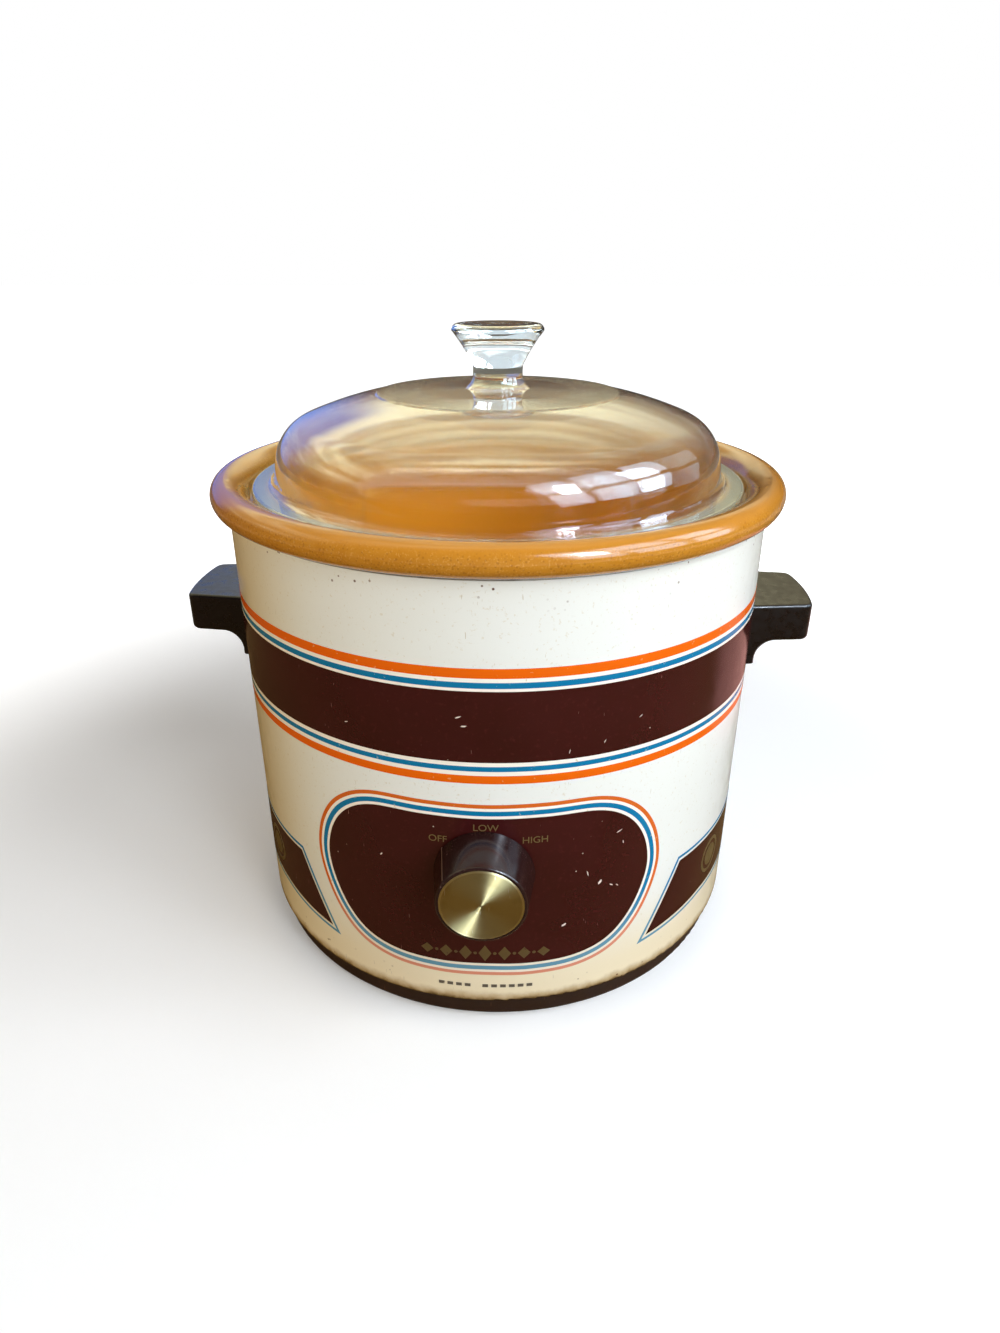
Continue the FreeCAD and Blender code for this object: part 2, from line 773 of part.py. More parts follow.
def make_switch():
    """A flat rotary switch behind the shell: case, cover, contacts, detent leaf, bushing and nut."""
    half_width = s.case_width / 2
    half_height = s.case_height / 2
    case = new_body("switch_case")
    outside = box_outline(-half_width, half_width, -half_height, half_height)
    pad(case, [outside], s.case_back, s.case_front)
    cavity_half_width = s.cavity_width / 2
    cavity_half_height = s.cavity_height / 2
    cavity = box_outline(-cavity_half_width, cavity_half_width, -cavity_half_height, cavity_half_height)
    pocket(case, [cavity], s.case_back, s.case_floor)
    slot_half = s.slot_height / 2
    slot_front = s.case_back + s.slot_depth
    pocket(case, [box_outline(-half_width, as_size(0), -slot_half, slot_half)], s.case_back, slot_front)
    for side in (-1, 1):
        middle = side * s.blade_spread
        slot = box_outline(as_size(0), half_width, middle - slot_half, middle + slot_half)
        pocket(case, [slot], s.case_back, slot_front)
    drill(case, "XY_Plane", [(0, 0, s.shaft_radius + s.stud_clearance)], s.case_front, offset=s.case_front)
    at_dial(case)

    cover = new_body("switch_cover")
    pad(cover, [outside], s.case_back - s.cover_sheet, s.case_back)
    drill(cover, "XY_Plane", [(0, 0, s.pivot_radius + s.shaft_clearance)], s.case_back, offset=s.case_back)
    at_dial(cover)

    blades = []
    blade_length = s.blade_outer - s.blade_inner
    blade_sheet = s.slot_depth - 2 * s.blade_gap
    places = (
        (-s.blade_outer, as_size(0)),
        (s.blade_inner, -s.blade_spread),
        (s.blade_inner, s.blade_spread),
    )
    for index, (left, middle) in enumerate(places):
        level = s.dial_level + middle - s.blade_height / 2
        blade = cuboid(f"blade_{index}", blade_length, s.blade_height, blade_sheet,
                       left, -s.case_back - s.blade_gap, level, outward(0))
        blades.append(blade)
    group("switch_contacts", blades)

    leaf = new_body("detent_spring")
    high = s.leaf_low + s.leaf_sheet
    pad(leaf, [[
        (-s.leaf_half, s.leaf_low),
        (-s.leaf_bump_half, s.leaf_low),
        (0, s.leaf_low - s.leaf_bump),
        (s.leaf_bump_half, s.leaf_low),
        (s.leaf_half, s.leaf_low),
        (s.leaf_half, high),
        (s.leaf_bump_half, high),
        (0, high - s.leaf_bump),
        (-s.leaf_bump_half, high),
        (-s.leaf_half, high),
    ]], s.leaf_back, s.leaf_front)
    at_dial(leaf)

    bushing = new_body("switch_bushing")
    bore = s.shaft_radius + s.shaft_clearance
    flange_front = s.case_front + s.bushing_flange_height
    turn_profile(bushing, [
        (bore, s.case_front),
        (s.bushing_flange, s.case_front),
        (s.bushing_flange, flange_front),
        (s.bushing_radius, flange_front),
        (s.bushing_radius, s.bushing_front),
        (bore, s.bushing_front),
    ])
    at_dial(bushing)

    nut = new_body("switch_nut")
    pad(nut, [hexagon(s.dial_nut_flats)], s.dial_nut_back, s.dial_nut_front)
    drill(nut, "XY_Plane", [(0, 0, s.bushing_radius + s.thread_clearance)],
          s.dial_nut_front, offset=s.dial_nut_front)
    at_dial(nut)


def make_turning_parts():
    """What turns with the dial: shaft, rotor, knob, its face disc and its spring clip."""
    shaft = new_body("switch_shaft")
    turn_profile(shaft, [
        (0, s.pivot_back),
        (s.pivot_radius, s.pivot_back),
        (s.pivot_radius, s.shaft_shoulder),
        (s.shaft_radius, s.shaft_shoulder),
        (s.shaft_radius, s.shaft_front),
        (0, s.shaft_front),
    ])
    flat = box_outline(-s.shaft_radius, s.shaft_radius, -s.shaft_radius - s.flat_offset, -s.flat_offset)
    pocket(shaft, [flat], s.flat_back, s.shaft_front)
    at_dial(shaft)

    rotor = new_body("switch_rotor")
    rotor_front = s.shaft_shoulder + s.rotor_height
    turn_profile(rotor, box_outline(s.hub_bore, s.rotor_radius, s.shaft_shoulder, rotor_front))
    notches = []
    for click in range(CLICKS):
        turn = math.radians(90 + click * s.detent_step.value)
        notches.append((s.notch_ring * math.cos(turn), s.notch_ring * math.sin(turn), s.notch_radius))
    drill(rotor, "XY_Plane", notches, rotor_front, offset=rotor_front)
    at_dial(rotor)

    skirt = new_body("knob_skirt")
    recess = s.disc_radius + s.disc_clearance
    inside_front = s.knob_front - s.knob_face
    turn_profile(skirt, [
        (s.knob_back_radius - s.knob_wall, s.knob_back),
        (s.knob_back_radius, s.knob_back),
        (s.knob_front_radius, s.knob_front - s.knob_edge),
        (s.knob_front_radius - s.knob_edge, s.knob_front, s.knob_edge, "left"),
        (recess, s.knob_front),
        (recess, s.knob_front - s.disc_recess),
        (0, s.knob_front - s.disc_recess),
        (0, s.hub_bore_front),
        (s.hub_bore, s.hub_bore_front),
        (s.hub_bore, s.hub_back),
        (s.hub_radius, s.hub_back),
        (s.hub_radius, inside_front),
        (s.knob_front_radius - s.knob_wall, inside_front),
    ])
    key_low = -s.hub_bore - s.shaft_clearance
    key_high = -s.flat_offset - s.clip_sheet - 2 * (s.hub_bore - s.shaft_radius)
    key = box_outline(-s.clip_half, s.clip_half, key_low, key_high)
    pad(skirt, [key], s.hub_back, s.hub_bore_front)
    at_dial(skirt)

    disc = new_body("knob_disc")
    disc_back = s.knob_front - s.disc_recess
    turn_profile(disc, [
        (0, disc_back),
        (s.disc_radius, disc_back),
        (s.disc_radius, s.knob_front - s.disc_clearance),
        (s.disc_radius - s.disc_crown, s.knob_front + s.disc_clearance),
        (0, s.knob_front + s.disc_crown),
    ])
    at_dial(disc)

    clip_low = -s.flat_offset - s.clip_sheet - (s.hub_bore - s.shaft_radius)
    clip = new_body("knob_clip")
    clip_outline = box_outline(-s.clip_half, s.clip_half, clip_low, clip_low + s.clip_sheet)
    pad(clip, [clip_outline], s.clip_back, s.clip_front)
    at_dial(clip)


# ------------------------------------------------------------------------------------- handles

def make_handle(label, angle):
    """A side handle: flat top, rounded corners, and a swept underside down to a short stem."""
    body = new_body(label)
    root = s.shell_radius - s.handle_corner
    grip_root = s.stem_reach + s.handle_sweep
    taper = math.radians(s.handle_taper.value)
    half_width = s.handle_tip_half + (s.handle_reach - s.handle_corner - root) * math.tan(taper)
    sketch = new_sketch(body, "XZ_Plane")
    draw_outline(sketch, [
        (root, s.stem_low),
        (s.stem_reach, s.stem_low),
        (s.stem_reach, s.handle_low - s.handle_sweep),
        (grip_root, s.handle_low, s.handle_sweep, "right"),
        (s.handle_reach, s.handle_low),
        (s.handle_reach, s.handle_top),
        (root, s.handle_top),
    ])
    block = body.newObject("PartDesign::Pad", f"{label}_block")
    block.Profile = sketch
    block.SideType = "Symmetric"
    bind(block, "Length", 2 * (half_width + s.handle_corner))
    body.Tip = block
    doc.recompute()

    waste = s.handle_reach + s.handle_corner
    far = half_width + s.handle_corner
    corner_half = s.handle_tip_half - s.handle_corner
    end_centre = s.handle_reach - s.handle_end_round
    inner_round = s.handle_end_round - s.handle_corner
    corner_step = square_root(inner_round * inner_round - corner_half * corner_half)
    stretch = s.handle_end_round / inner_round
    for side in (-1, 1):
        bend = "right" if side > 0 else "left"
        pocket(body, [[
            (root, side * half_width),
            (end_centre + corner_step + s.handle_corner * math.sin(taper),
             side * (corner_half + s.handle_corner * math.cos(taper))),
            (end_centre + corner_step * stretch, side * corner_half * stretch, s.handle_corner, bend),
            (s.handle_reach, 0, s.handle_end_round, bend),
            (waste, 0),
            (waste, side * far),
            (root, side * far),
        ]], s.stem_low, s.handle_top)
    turn_profile(body, box_outline(as_size(0), s.shell_radius, s.stem_low, s.handle_top), "Groove")

    round_edges(body, level=s.handle_top.value, radius=s.handle_edge)
    round_edges(body, level=s.handle_low.value, radius=s.handle_low_edge)
    bore = s.screw_radius + s.screw_clearance
    bores = [(side * s.screw_half_spread, s.screw_level, bore) for side in (-1, 1)]
    drill(body, "YZ_Plane", bores, s.screw_depth, reverse=True)
    body.Placement = Placement(Vector(), Rotation(Vector(0, 0, 1), angle))


def round_edges(body, level, radius):
    """Round the edges that lie at one height, except where the handle meets the shell or the stem."""
    same_level = 0.01
    near_shell = s.shell_radius.value + s.handle_corner.value
    base = body.Tip
    names = []
    for index, edge in enumerate(base.Shape.Edges, start=1):
        box = edge.BoundBox
        flat = abs(box.ZMin - level) < same_level and abs(box.ZMax - level) < same_level
        straight_at_root = box.XMax < near_shell
        fold = box.XLength < same_level
        if flat and not straight_at_root and not fold:
            names.append(f"Edge{index}")
    feature = body.newObject("PartDesign::Fillet", f"{body.Label}_fillet")
    feature.Base = (base, names)
    bind(feature, "Radius", radius)
    body.Tip = feature
    doc.recompute()


def make_handle_fasteners():
    """Each handle is held by two screws from inside, with saddle washers that follow the shell."""
    head_back = s.saddle_back - s.screw_head_height
    shank_length = s.screw_depth - s.saddle_back - s.screw_clearance
    saddle_depth = s.shell_radius - s.saddle_back
    inside_wall = s.shell_radius - s.shell_sheet - s.saddle_gap
    drum_half = 2 * s.saddle_radius
    screws = []
    saddles = []
    for side, side_name in ((1, "right"), (-1, "left")):
        rotation = outward(side * 90)
        for step in (-1, 1):
            name = f"{side_name}_{step + 1}"
            shift = step * s.screw_half_spread
            saddle_x = side * s.saddle_back
            head = cylinder(f"head_{name}", s.screw_head_radius, s.screw_head_height,
                            side * head_back, shift, s.screw_level, rotation)
            shank = cylinder(f"shank_{name}", s.screw_radius, shank_length,
                             saddle_x, shift, s.screw_level, rotation)
            screws.append(fuse(f"screw_{name}", [head, shank]))
            blank = cylinder(f"blank_{name}", s.saddle_radius, saddle_depth,
                             saddle_x, shift, s.screw_level, rotation)
            hole = cylinder(f"hole_{name}", s.screw_radius + s.screw_clearance, saddle_depth,
                            saddle_x, shift, s.screw_level, rotation)
            drum = cylinder(f"drum_{name}", inside_wall, 2 * drum_half, z=s.screw_level - drum_half)
            saddles.append(subtract(f"saddle_{name}", common(f"seat_{name}", blank, drum), hole))
    group("handle_screws", screws)
    group("handle_saddles", saddles)


# ------------------------------------------------------------------- cord entry, terminals, leads

def at_cord(piece):
    return place(piece, z=s.cord_level, rotation=outward(180))


def make_cord_entry():
    """The bush in the rear wall that a mains cord passes through, and the ring that holds it.

    Where it passes through the wall its neck is square, so that it can't turn.
    """
    bush = new_body("cord_bushing")
    flange_front = s.shell_radius + s.cord_flange_height
    turn_profile(bush, [
        (0, s.cord_back),
        (s.cord_neck, s.cord_back),
        (s.cord_neck, s.shell_radius),
        (s.cord_flange, s.shell_radius),
        (s.cord_flange, flange_front - s.cord_flange_edge),
        (s.cord_flange - s.cord_flange_edge, flange_front, s.cord_flange_edge, "left"),
        (0, flange_front),
    ])
    square = box_outline(-s.cord_neck, s.cord_neck, -s.cord_neck, s.cord_neck)
    pad(bush, [square], s.cord_nut_front, s.shell_radius)
    drill(bush, "XY_Plane", [(0, 0, s.cord_bore)], flange_front, offset=flange_front)
    at_cord(bush)
    ring = new_body("cord_bushing_ring")
    inner = s.cord_neck + s.thread_clearance
    turn_profile(ring, box_outline(inner, s.cord_nut_radius, s.cord_nut_back, s.cord_nut_front))
    at_cord(ring)


def make_terminals():
    """The rear terminal block, its clamping screws and the rivets that hold it to the shell."""
    height = s.block_high - s.block_low
    depth = s.shell_radius - s.block_back
    block_side = -s.block_width / 2
    blank = cuboid("block_blank", s.block_width, depth, height, block_side, s.block_back, s.block_low)
    inside_wall = s.shell_radius - s.shell_sheet - s.block_wall_gap
    drum = cylinder("block_drum", inside_wall, height, z=s.block_low)
    along_x = Rotation(Vector(0, 1, 0), 90)
    tools = [cylinder("clamp_bore", s.clamp_bore, s.block_width, -s.block_width / 2,
                      s.lead_reach, s.dial_level, along_x)]
    facing_back = outward(180)
    grub_low = s.block_high - s.grub_height
    rivet_level = (s.block_low + s.block_high) / 2
    grubs = []
    rivets = []
    for side, name in ((-1, "left"), (1, "right")):
        grub_x = side * s.grub_half_spread
        tools.append(cylinder(f"grub_hole_{name}", s.grub_radius + s.thread_clearance, s.grub_height,
                              grub_x, s.lead_reach, grub_low))
        grubs.append(cylinder(f"grub_{name}", s.grub_radius, s.grub_height,
                              grub_x, s.lead_reach, grub_low + s.grub_proud))
        rivet_x = side * s.rivet_half_spread
        tools.append(cylinder(f"rivet_hole_{name}", s.rivet_radius + s.rivet_clearance, depth,
                              rivet_x, s.block_back, rivet_level, facing_back))
        shank = cylinder(f"rivet_shank_{name}", s.rivet_radius, depth,
                         rivet_x, s.block_back, rivet_level, facing_back)
        head = cylinder(f"rivet_head_{name}", s.rivet_head, s.rivet_head_height,
                        rivet_x, s.shell_radius, rivet_level, facing_back)
        tail = cylinder(f"rivet_tail_{name}", s.rivet_tail, s.rivet_tail_height,
                        rivet_x, s.block_back - s.rivet_tail_height, rivet_level, facing_back)
        rivets.append(fuse(f"rivet_{name}", [shank, head, tail]))
    drilled = subtract("terminal_block", common("block_shape", blank, drum), fuse("block_holes", tools))
    drilled.Label = "terminal_block"
    group("terminal_screws", grubs)
    group("terminal_rivets", rivets)


def make_lead(label, level, start, end):
    """An insulated lead in the space behind the shell, between two turns round the pot's axis.

    The turns are in degrees from the front, counted towards +X.
    """
    lead = doc.addObject("Part::Torus", label)
    lead.Label = label
    bind(lead, "Radius1", s.lead_reach)
    bind(lead, "Radius2", s.lead_radius)
    lead.Angle3 = end - start
    place(lead, z=level, rotation=Rotation(Vector(0, 0, 1), start - 90))


def turn_at(sideways):
    """The turn, in degrees, of a point on the leads' circle at a given distance from the Y axis."""
    return math.degrees(math.asin(sideways.value / s.lead_reach.value))


def make_leads():
    """Leads from the terminal block to the switch and heater, and from the switch to the heater."""
    blade_turn = turn_at(s.blade_outer + s.lead_end_gap)
    block_turn = turn_at(s.block_width / 2 + s.lead_end_gap)
    low_level = s.dial_level - s.blade_spread
    high_level = s.dial_level + s.blade_spread
    make_lead("lead_line", s.dial_level, block_turn - 180, -blade_turn)
    make_lead("lead_low", low_level, blade_turn, s.tab_low_angle.value)
    make_lead("lead_high", high_level, blade_turn, s.tab_high_angle.value)
    make_lead("lead_neutral", s.dial_level, s.tab_neutral_angle.value, 180 - block_turn)


# ----------------------------------------------------------------------------------- crock and lid

def make_crock():
    """Stoneware pot with a rolled rim; a recess inside the rim carries the lid."""
    body = new_body("crock")
    inside = s.crock_radius - s.crock_wall
    corner_reach = s.crock_radius - s.crock_corner
    under_rim = s.shell_high + s.well_sheet + s.rim_gap
    floor = s.crock_low + s.crock_floor
    lip_reach = inside + s.recess_lip_round
    rim_middle = under_rim + s.rim_round
    shoulder_reach = s.recess_radius + s.recess_shoulder_step
    turn_profile(body, [
        (0, s.crock_low),
        (corner_reach, s.crock_low),
        (s.crock_radius, s.crock_low + s.crock_corner, s.crock_corner, "left"),
        (s.crock_radius, under_rim - s.rim_root_round),
        (s.crock_radius + s.rim_root_round, under_rim, s.rim_root_round, "right"),
        (s.rim_centre, under_rim),
        (s.rim_centre + s.rim_round, rim_middle, s.rim_round, "left"),
        (s.rim_centre, rim_middle + s.rim_round, s.rim_round, "left"),
        (shoulder_reach, s.recess_shoulder_level, s.rim_inner_round, "left"),
        (s.recess_radius, s.recess_level + s.recess_shoulder_step),
        (s.recess_radius - s.recess_shoulder_step, s.recess_level),
        (lip_reach, s.recess_level),
        (inside, s.recess_level - s.recess_lip_round, s.recess_lip_round, "left"),
        (inside, floor + s.crock_inner_corner),
        (inside - s.crock_inner_corner, floor, s.crock_inner_corner, "right"),
        (0, floor),
    ])


def make_lid():
    """One-piece pressed glass: flat flange, domed shoulder, ringed plateau and a flared grip."""
    body = new_body("glass_lid")
    low = s.recess_level + s.lid_gap
    flange_top = low + s.lid_flange
    inner_round = s.shoulder_round - s.lid_glass
    slope = math.atan2(s.dome_level.value - flange_top.value,
                       s.dome_side_radius.value - s.dome_radius.value)
    side_in = s.dome_radius - s.lid_glass * math.sin(slope)
    fall = math.atan2(s.plateau_level.value - s.shoulder_level.value,
                      s.shoulder_radius.value - s.plateau_radius.value)
    shoulder_in = s.shoulder_radius - s.lid_glass * math.sin(fall)
    under_shoulder = s.shoulder_level - s.lid_glass * math.cos(fall)
    under_plateau = s.plateau_level - s.lid_glass
    turn_profile(body, [
        (0, under_plateau + s.plateau_step),
        (s.plateau_radius, under_plateau),
        (shoulder_in, under_shoulder, s.crown_round, "right"),
        (side_in, s.dome_level, inner_round, "right"),
        (s.dome_side_radius - s.lid_glass, flange_top),
        (s.dome_side_radius - s.lid_glass / 2, low),
        (s.lid_radius - s.lid_edge, low),
        (s.lid_radius, low + s.lid_edge, s.lid_edge, "left"),
        (s.lid_radius, flange_top - s.lid_edge),
        (s.lid_radius - s.lid_edge, flange_top, s.lid_edge, "left"),
        (s.dome_root_radius, flange_top),
        (s.dome_side_radius, flange_top + s.dome_root_rise, s.dome_root_rise, "right"),
        (s.dome_radius, s.dome_level),
        (s.shoulder_radius, s.shoulder_level, s.shoulder_round, "left"),
        (s.plateau_radius, s.plateau_level, s.crown_round, "left"),
        (s.plateau_radius - s.plateau_bevel, s.plateau_level + s.plateau_step),
        (s.ring_radius, s.ring_level),
        (s.neck_foot_radius, s.neck_foot_level),
        (s.neck_radius, s.neck_low, s.neck_foot_round, "right"),
        (s.neck_radius, s.neck_high),
        (s.grip_radius, s.grip_level, s.grip_sweep, "right"),
        (s.grip_radius - s.grip_edge, s.grip_top, s.grip_edge, "left"),
        (0, s.grip_top - s.grip_dish),
    ])


# -------------------------------------------------------------------------------- checks and files

NODES = [
    "outer_shell", "base_pan", "rubber_feet", "heating_well",
    "well_stud", "well_washer", "well_nut", "tie_cap",
    "heater_band", "heater_tabs", "heater_clamp", "heater_clamp_screw", "heater_clamp_nut",
    "switch_case", "switch_cover", "switch_contacts", "detent_spring", "switch_bushing", "switch_nut",
    "switch_shaft", "switch_rotor", "knob_skirt", "knob_disc", "knob_clip",
    "handle_right", "handle_left", "handle_screws", "handle_saddles",
    "cord_bushing", "cord_bushing_ring", "terminal_block", "terminal_screws", "terminal_rivets",
    "lead_line", "lead_low", "lead_high", "lead_neutral", "crock", "glass_lid",
]


def check_document():
    """Stop if any object failed to recompute."""
    for item in doc.Objects:
        if "Invalid" in item.State or "Error" in item.State:
            raise RuntimeError(f"{item.Name} is {item.State}")


def write_parts():
    """Check every sub-part's shape and write one STEP file for each."""
    os.makedirs("parts", exist_ok=True)
    shapes = {}
    for label in NODES:
        shape = doc.getObjectsByLabel(label)[0].Shape
        if shape.isNull() or not shape.isValid() or not shape.Solids:
            raise RuntimeError(f"{label} has no valid solid")
        shapes[label] = shape
    for label, shape in shapes.items():
        shape.exportStep(f"parts/{label}.step")
        print(f"{label}: {len(shape.Solids)} solid, {shape.Volume:.1f} mm3")


make_outer_shell()
make_base_pan()
make_rubber_feet()
make_heating_well()
make_well_tie()
make_tie_cap()
make_heater()
make_switch()
make_turning_parts()
make_handle("handle_right", 0)
make_handle("handle_left", 180)
make_handle_fasteners()
make_cord_entry()
make_terminals()
make_leads()
make_crock()
make_lid()
doc.recompute()
check_document()
write_parts()
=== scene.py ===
"""Slow cooker: finishes, printed decoration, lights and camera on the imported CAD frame.

Lengths in the constants are millimetres, except on the stage, where they are metres; MM turns
millimetres into Blender's metres. The dial faces -Y.
On the drum a print's points are (arc, height): the arc is measured round the shell from the front.
"""
import json
import math
import bmesh
import bpy
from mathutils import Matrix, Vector
from mathutils.geometry import delaunay_2d_cdt

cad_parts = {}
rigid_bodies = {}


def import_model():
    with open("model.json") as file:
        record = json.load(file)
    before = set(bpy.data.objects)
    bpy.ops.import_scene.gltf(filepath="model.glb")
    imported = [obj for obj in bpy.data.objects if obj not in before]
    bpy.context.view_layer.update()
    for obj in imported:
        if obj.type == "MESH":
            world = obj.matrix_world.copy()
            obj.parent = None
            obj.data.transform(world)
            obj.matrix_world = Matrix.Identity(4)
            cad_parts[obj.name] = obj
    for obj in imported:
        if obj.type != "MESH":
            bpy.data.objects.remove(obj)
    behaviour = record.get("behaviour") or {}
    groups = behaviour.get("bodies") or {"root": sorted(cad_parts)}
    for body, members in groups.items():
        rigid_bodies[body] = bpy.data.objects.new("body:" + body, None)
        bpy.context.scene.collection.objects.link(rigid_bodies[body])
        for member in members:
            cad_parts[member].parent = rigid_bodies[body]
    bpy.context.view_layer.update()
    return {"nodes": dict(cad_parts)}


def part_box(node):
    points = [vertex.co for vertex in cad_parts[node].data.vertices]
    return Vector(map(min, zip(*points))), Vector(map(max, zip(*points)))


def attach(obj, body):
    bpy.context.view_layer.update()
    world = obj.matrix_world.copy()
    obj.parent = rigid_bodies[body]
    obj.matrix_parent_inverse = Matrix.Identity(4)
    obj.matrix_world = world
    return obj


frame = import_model()

MM = 0.001
SHELL_LOW, SHELL_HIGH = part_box("outer_shell")
SHELL_RADIUS = (SHELL_HIGH.x - SHELL_LOW.x) / 2 / MM
GIRTH = 2 * math.pi * SHELL_RADIUS
SKIRT_LOW, SKIRT_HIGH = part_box("knob_skirt")
DIAL_LEVEL = (SKIRT_LOW.z + SKIRT_HIGH.z) / 2 / MM

# How far a print's underside stands off the shell, and how thick its enamel is.
PRINT_LIFT = 0.03
PRINT_THICKNESS = 0.07
# The longest chord that still hugs the shell.
PRINT_STEP = 2.5
# How close two of a print's points are when they count as one.
WELD = 0.002
# Edges between faces that meet at less than this many degrees are smoothed.
SMOOTH_BELOW = 35

# Noise seldom leaves this span.
NOISE_SPAN = (0.3, 0.7)
# Where a finish changes: the height, radius or X at which the change starts and at which it ends.
# The X span over which the painted warm shade comes in on the drum's left side.
ENAMEL_SHADED_LEFT = (-55.0, -112.0)
ENAMEL_TINTED = (62.0, 22.0)
ENAMEL_STAINED = (20.0, 15.0)
ENAMEL_RUSTED = (16.8, 13.6)
SPECKS_HIGH = (176.0, 189.0)
SPECKS_LOW = (26.0, 16.0)
PRINT_FADED = (60.0, 32.0)
DISC_EDGE = (14.2, 14.7)
# Painted light: the heights over which the rim's crest turns a lighter amber, as if lit from above.
CROCK_CREST_PAINTED_LIGHT = (198.5, 202.5)
# Painted light: the heights below which the glaze turns a brighter amber, so the crock's inside looks
# lit.
CROCK_INSIDE_PAINTED_LIGHT = (192.0, 170.0)
CROCK_OUTSIDE = (96.2, 96.8)
CROCK_UNGLAZED = (186.0, 183.0)
STIPPLE_STARTS = (30.0, 32.0)
STIPPLE_ENDS = (49.0, 47.0)
PLATEAU_EDGE = (50.0, 48.0)
GRIP_FOOT = (231.5, 233.5)
FLANGE_EDGE = (93.5, 96.5)


def srgb(red, green, blue):
    """A linear colour from 0-255 display values."""
    def linear(level):
        level /= 255
        return level / 12.92 if level <= 0.04045 else ((level + 0.055) / 1.055) ** 2.4
    return linear(red), linear(green), linear(blue), 1.0


# ------------------------------------------------------------------------------------- finishes

class Nodes:
    """Short calls for the nodes of one tree, a material's or the world's."""

    def __init__(self, tree):
        self.tree = tree

    def feed(self, socket, value):
        """Link a socket to another node's output, or set its value."""
        if isinstance(value, bpy.types.NodeSocket):
            self.tree.links.new(value, socket)
        else:
            socket.default_value = value

    def add(self, kind, inputs=None, **settings):
        """A new node with its settings, and its inputs given by name or by number."""
        node = self.tree.nodes.new(kind)
        for key, value in settings.items():
            setattr(node, key, value)
        for key, value in (inputs or {}).items():
            self.feed(node.inputs[key], value)
        return node

    def ramp(self, value, start, end, low=0.0, high=1.0):
        """value between start and end, eased to low and high."""
        return self.add("ShaderNodeMapRange", {
            "Value": value, "From Min": start, "From Max": end, "To Min": low, "To Max": high,
        }, interpolation_type="SMOOTHSTEP").outputs["Result"]

    def calc(self, operation, first, second=0.0, third=0.0):
        """The result of one operation of a Math node."""
        inputs = {0: first, 1: second, 2: third}
        return self.add("ShaderNodeMath", inputs, operation=operation).outputs[0]

    def mix(self, factor, first, second):
        """A colour from first to second as factor goes from 0 to 1."""
        node = self.add("ShaderNodeMix", data_type="RGBA")
        for name, value in (("Factor", factor), ("A", first), ("B", second)):
            self.feed(node.inputs[name], value)
        return node.outputs["Result"]

    def ray_is(self, kind):
        """1 for rays of a kind, such as Camera where the viewer looks straight at a surface."""
        return self.add("ShaderNodeLightPath").outputs[f"Is {kind} Ray"]


class Finish(Nodes):
    """One procedural material: a Principled surface and the patterns that feed it."""

    def __init__(self, name, **surface):
        self.material = bpy.data.materials.new(name)
        self.material.use_nodes = True
        super().__init__(self.material.node_tree)
        self.surface = self.tree.nodes["Principled BSDF"]
        self.place = self.add("ShaderNodeTexCoord").outputs["Object"]
        self.set(**surface)

    def set(self, **surface):
        """Give surface inputs by name, with _ for a space: a value or another node's output."""
        for name, value in surface.items():
            self.feed(self.surface.inputs[name.replace("_", " ")], value)

    def stretched(self, scale, rotation=(0, 0, 0)):
        """The place, scaled along each axis and turned, for marks that run one way."""
        return self.add("ShaderNodeMapping", {
            "Vector": self.place, "Scale": scale, "Rotation": rotation,
        }).outputs["Vector"]

    def noise(self, size, detail=2.0, place=None):
        """Cloudy noise, 0 to 1; size is the width of its blotches in millimetres."""
        return self.add("ShaderNodeTexNoise", {
            "Vector": place or self.place, "Scale": 1 / (size * MM), "Detail": detail,
        }).outputs["Fac"]

    def cells(self, size):
        """The distance to the nearest of scattered points; size is their spacing in millimetres."""
        return self.add("ShaderNodeTexVoronoi", {
            "Vector": self.place, "Scale": 1 / (size * MM),
        }).outputs["Distance"]

    def fade(self, distance, change, low=0.0, high=1.0):
        """Eased from low to high between a change's start and end, in millimetres."""
        start, end = change
        return self.ramp(distance, start * MM, end * MM, low, high)

    def uneven(self, size, detail, low, high):
        """A value that wanders between low and high, such as a roughness."""
        return self.ramp(self.noise(size, detail), *NOISE_SPAN, low, high)

    def coordinate(self, axis):
        """The place along one axis."""
        return self.add("ShaderNodeSeparateXYZ", {0: self.place}).outputs[axis]

    def radius(self, centre=(0.0, 0.0, 0.0), flatten=(1.0, 1.0, 0.0)):
        """Distance from an axis through centre; flatten has 0 on the axis's own direction."""
        shift = self.add("ShaderNodeVectorMath", {0: self.place, 1: centre}, operation="SUBTRACT")
        flat = self.add("ShaderNodeVectorMath", {0: shift.outputs[0], 1: flatten}, operation="MULTIPLY")
        length = self.add("ShaderNodeVectorMath", {0: flat.outputs[0]}, operation="LENGTH")
        return length.outputs["Value"]

    def bump(self, height, depth):
        """Raise the surface by height times depth millimetres, on top of any bump already made."""
        node = self.add("ShaderNodeBump", {
            "Height": height, "Distance": depth * MM, "Strength": 1.0,
        })
        normal = self.surface.inputs["Normal"]
        if normal.links:
            self.feed(node.inputs["Normal"], normal.links[0].from_socket)
        self.feed(normal, node.outputs["Normal"])


def add_scratches(finish, colour, mark, angles, density):
    """Mix short straight scratches of colour mark over colour, one set for each angle."""
    for angle in angles:
        place = finish.stretched((1.0, 1.0, 0.09), rotation=(0, angle, angle / 2))
        line = finish.ramp(finish.noise(0.35, detail=0.0, place=place), density, density + 0.02)
        patch = finish.ramp(finish.noise(9.0, detail=1.0), 0.52, 0.62)
        colour = finish.mix(finish.calc("MULTIPLY", line, patch), colour, mark)
    return colour


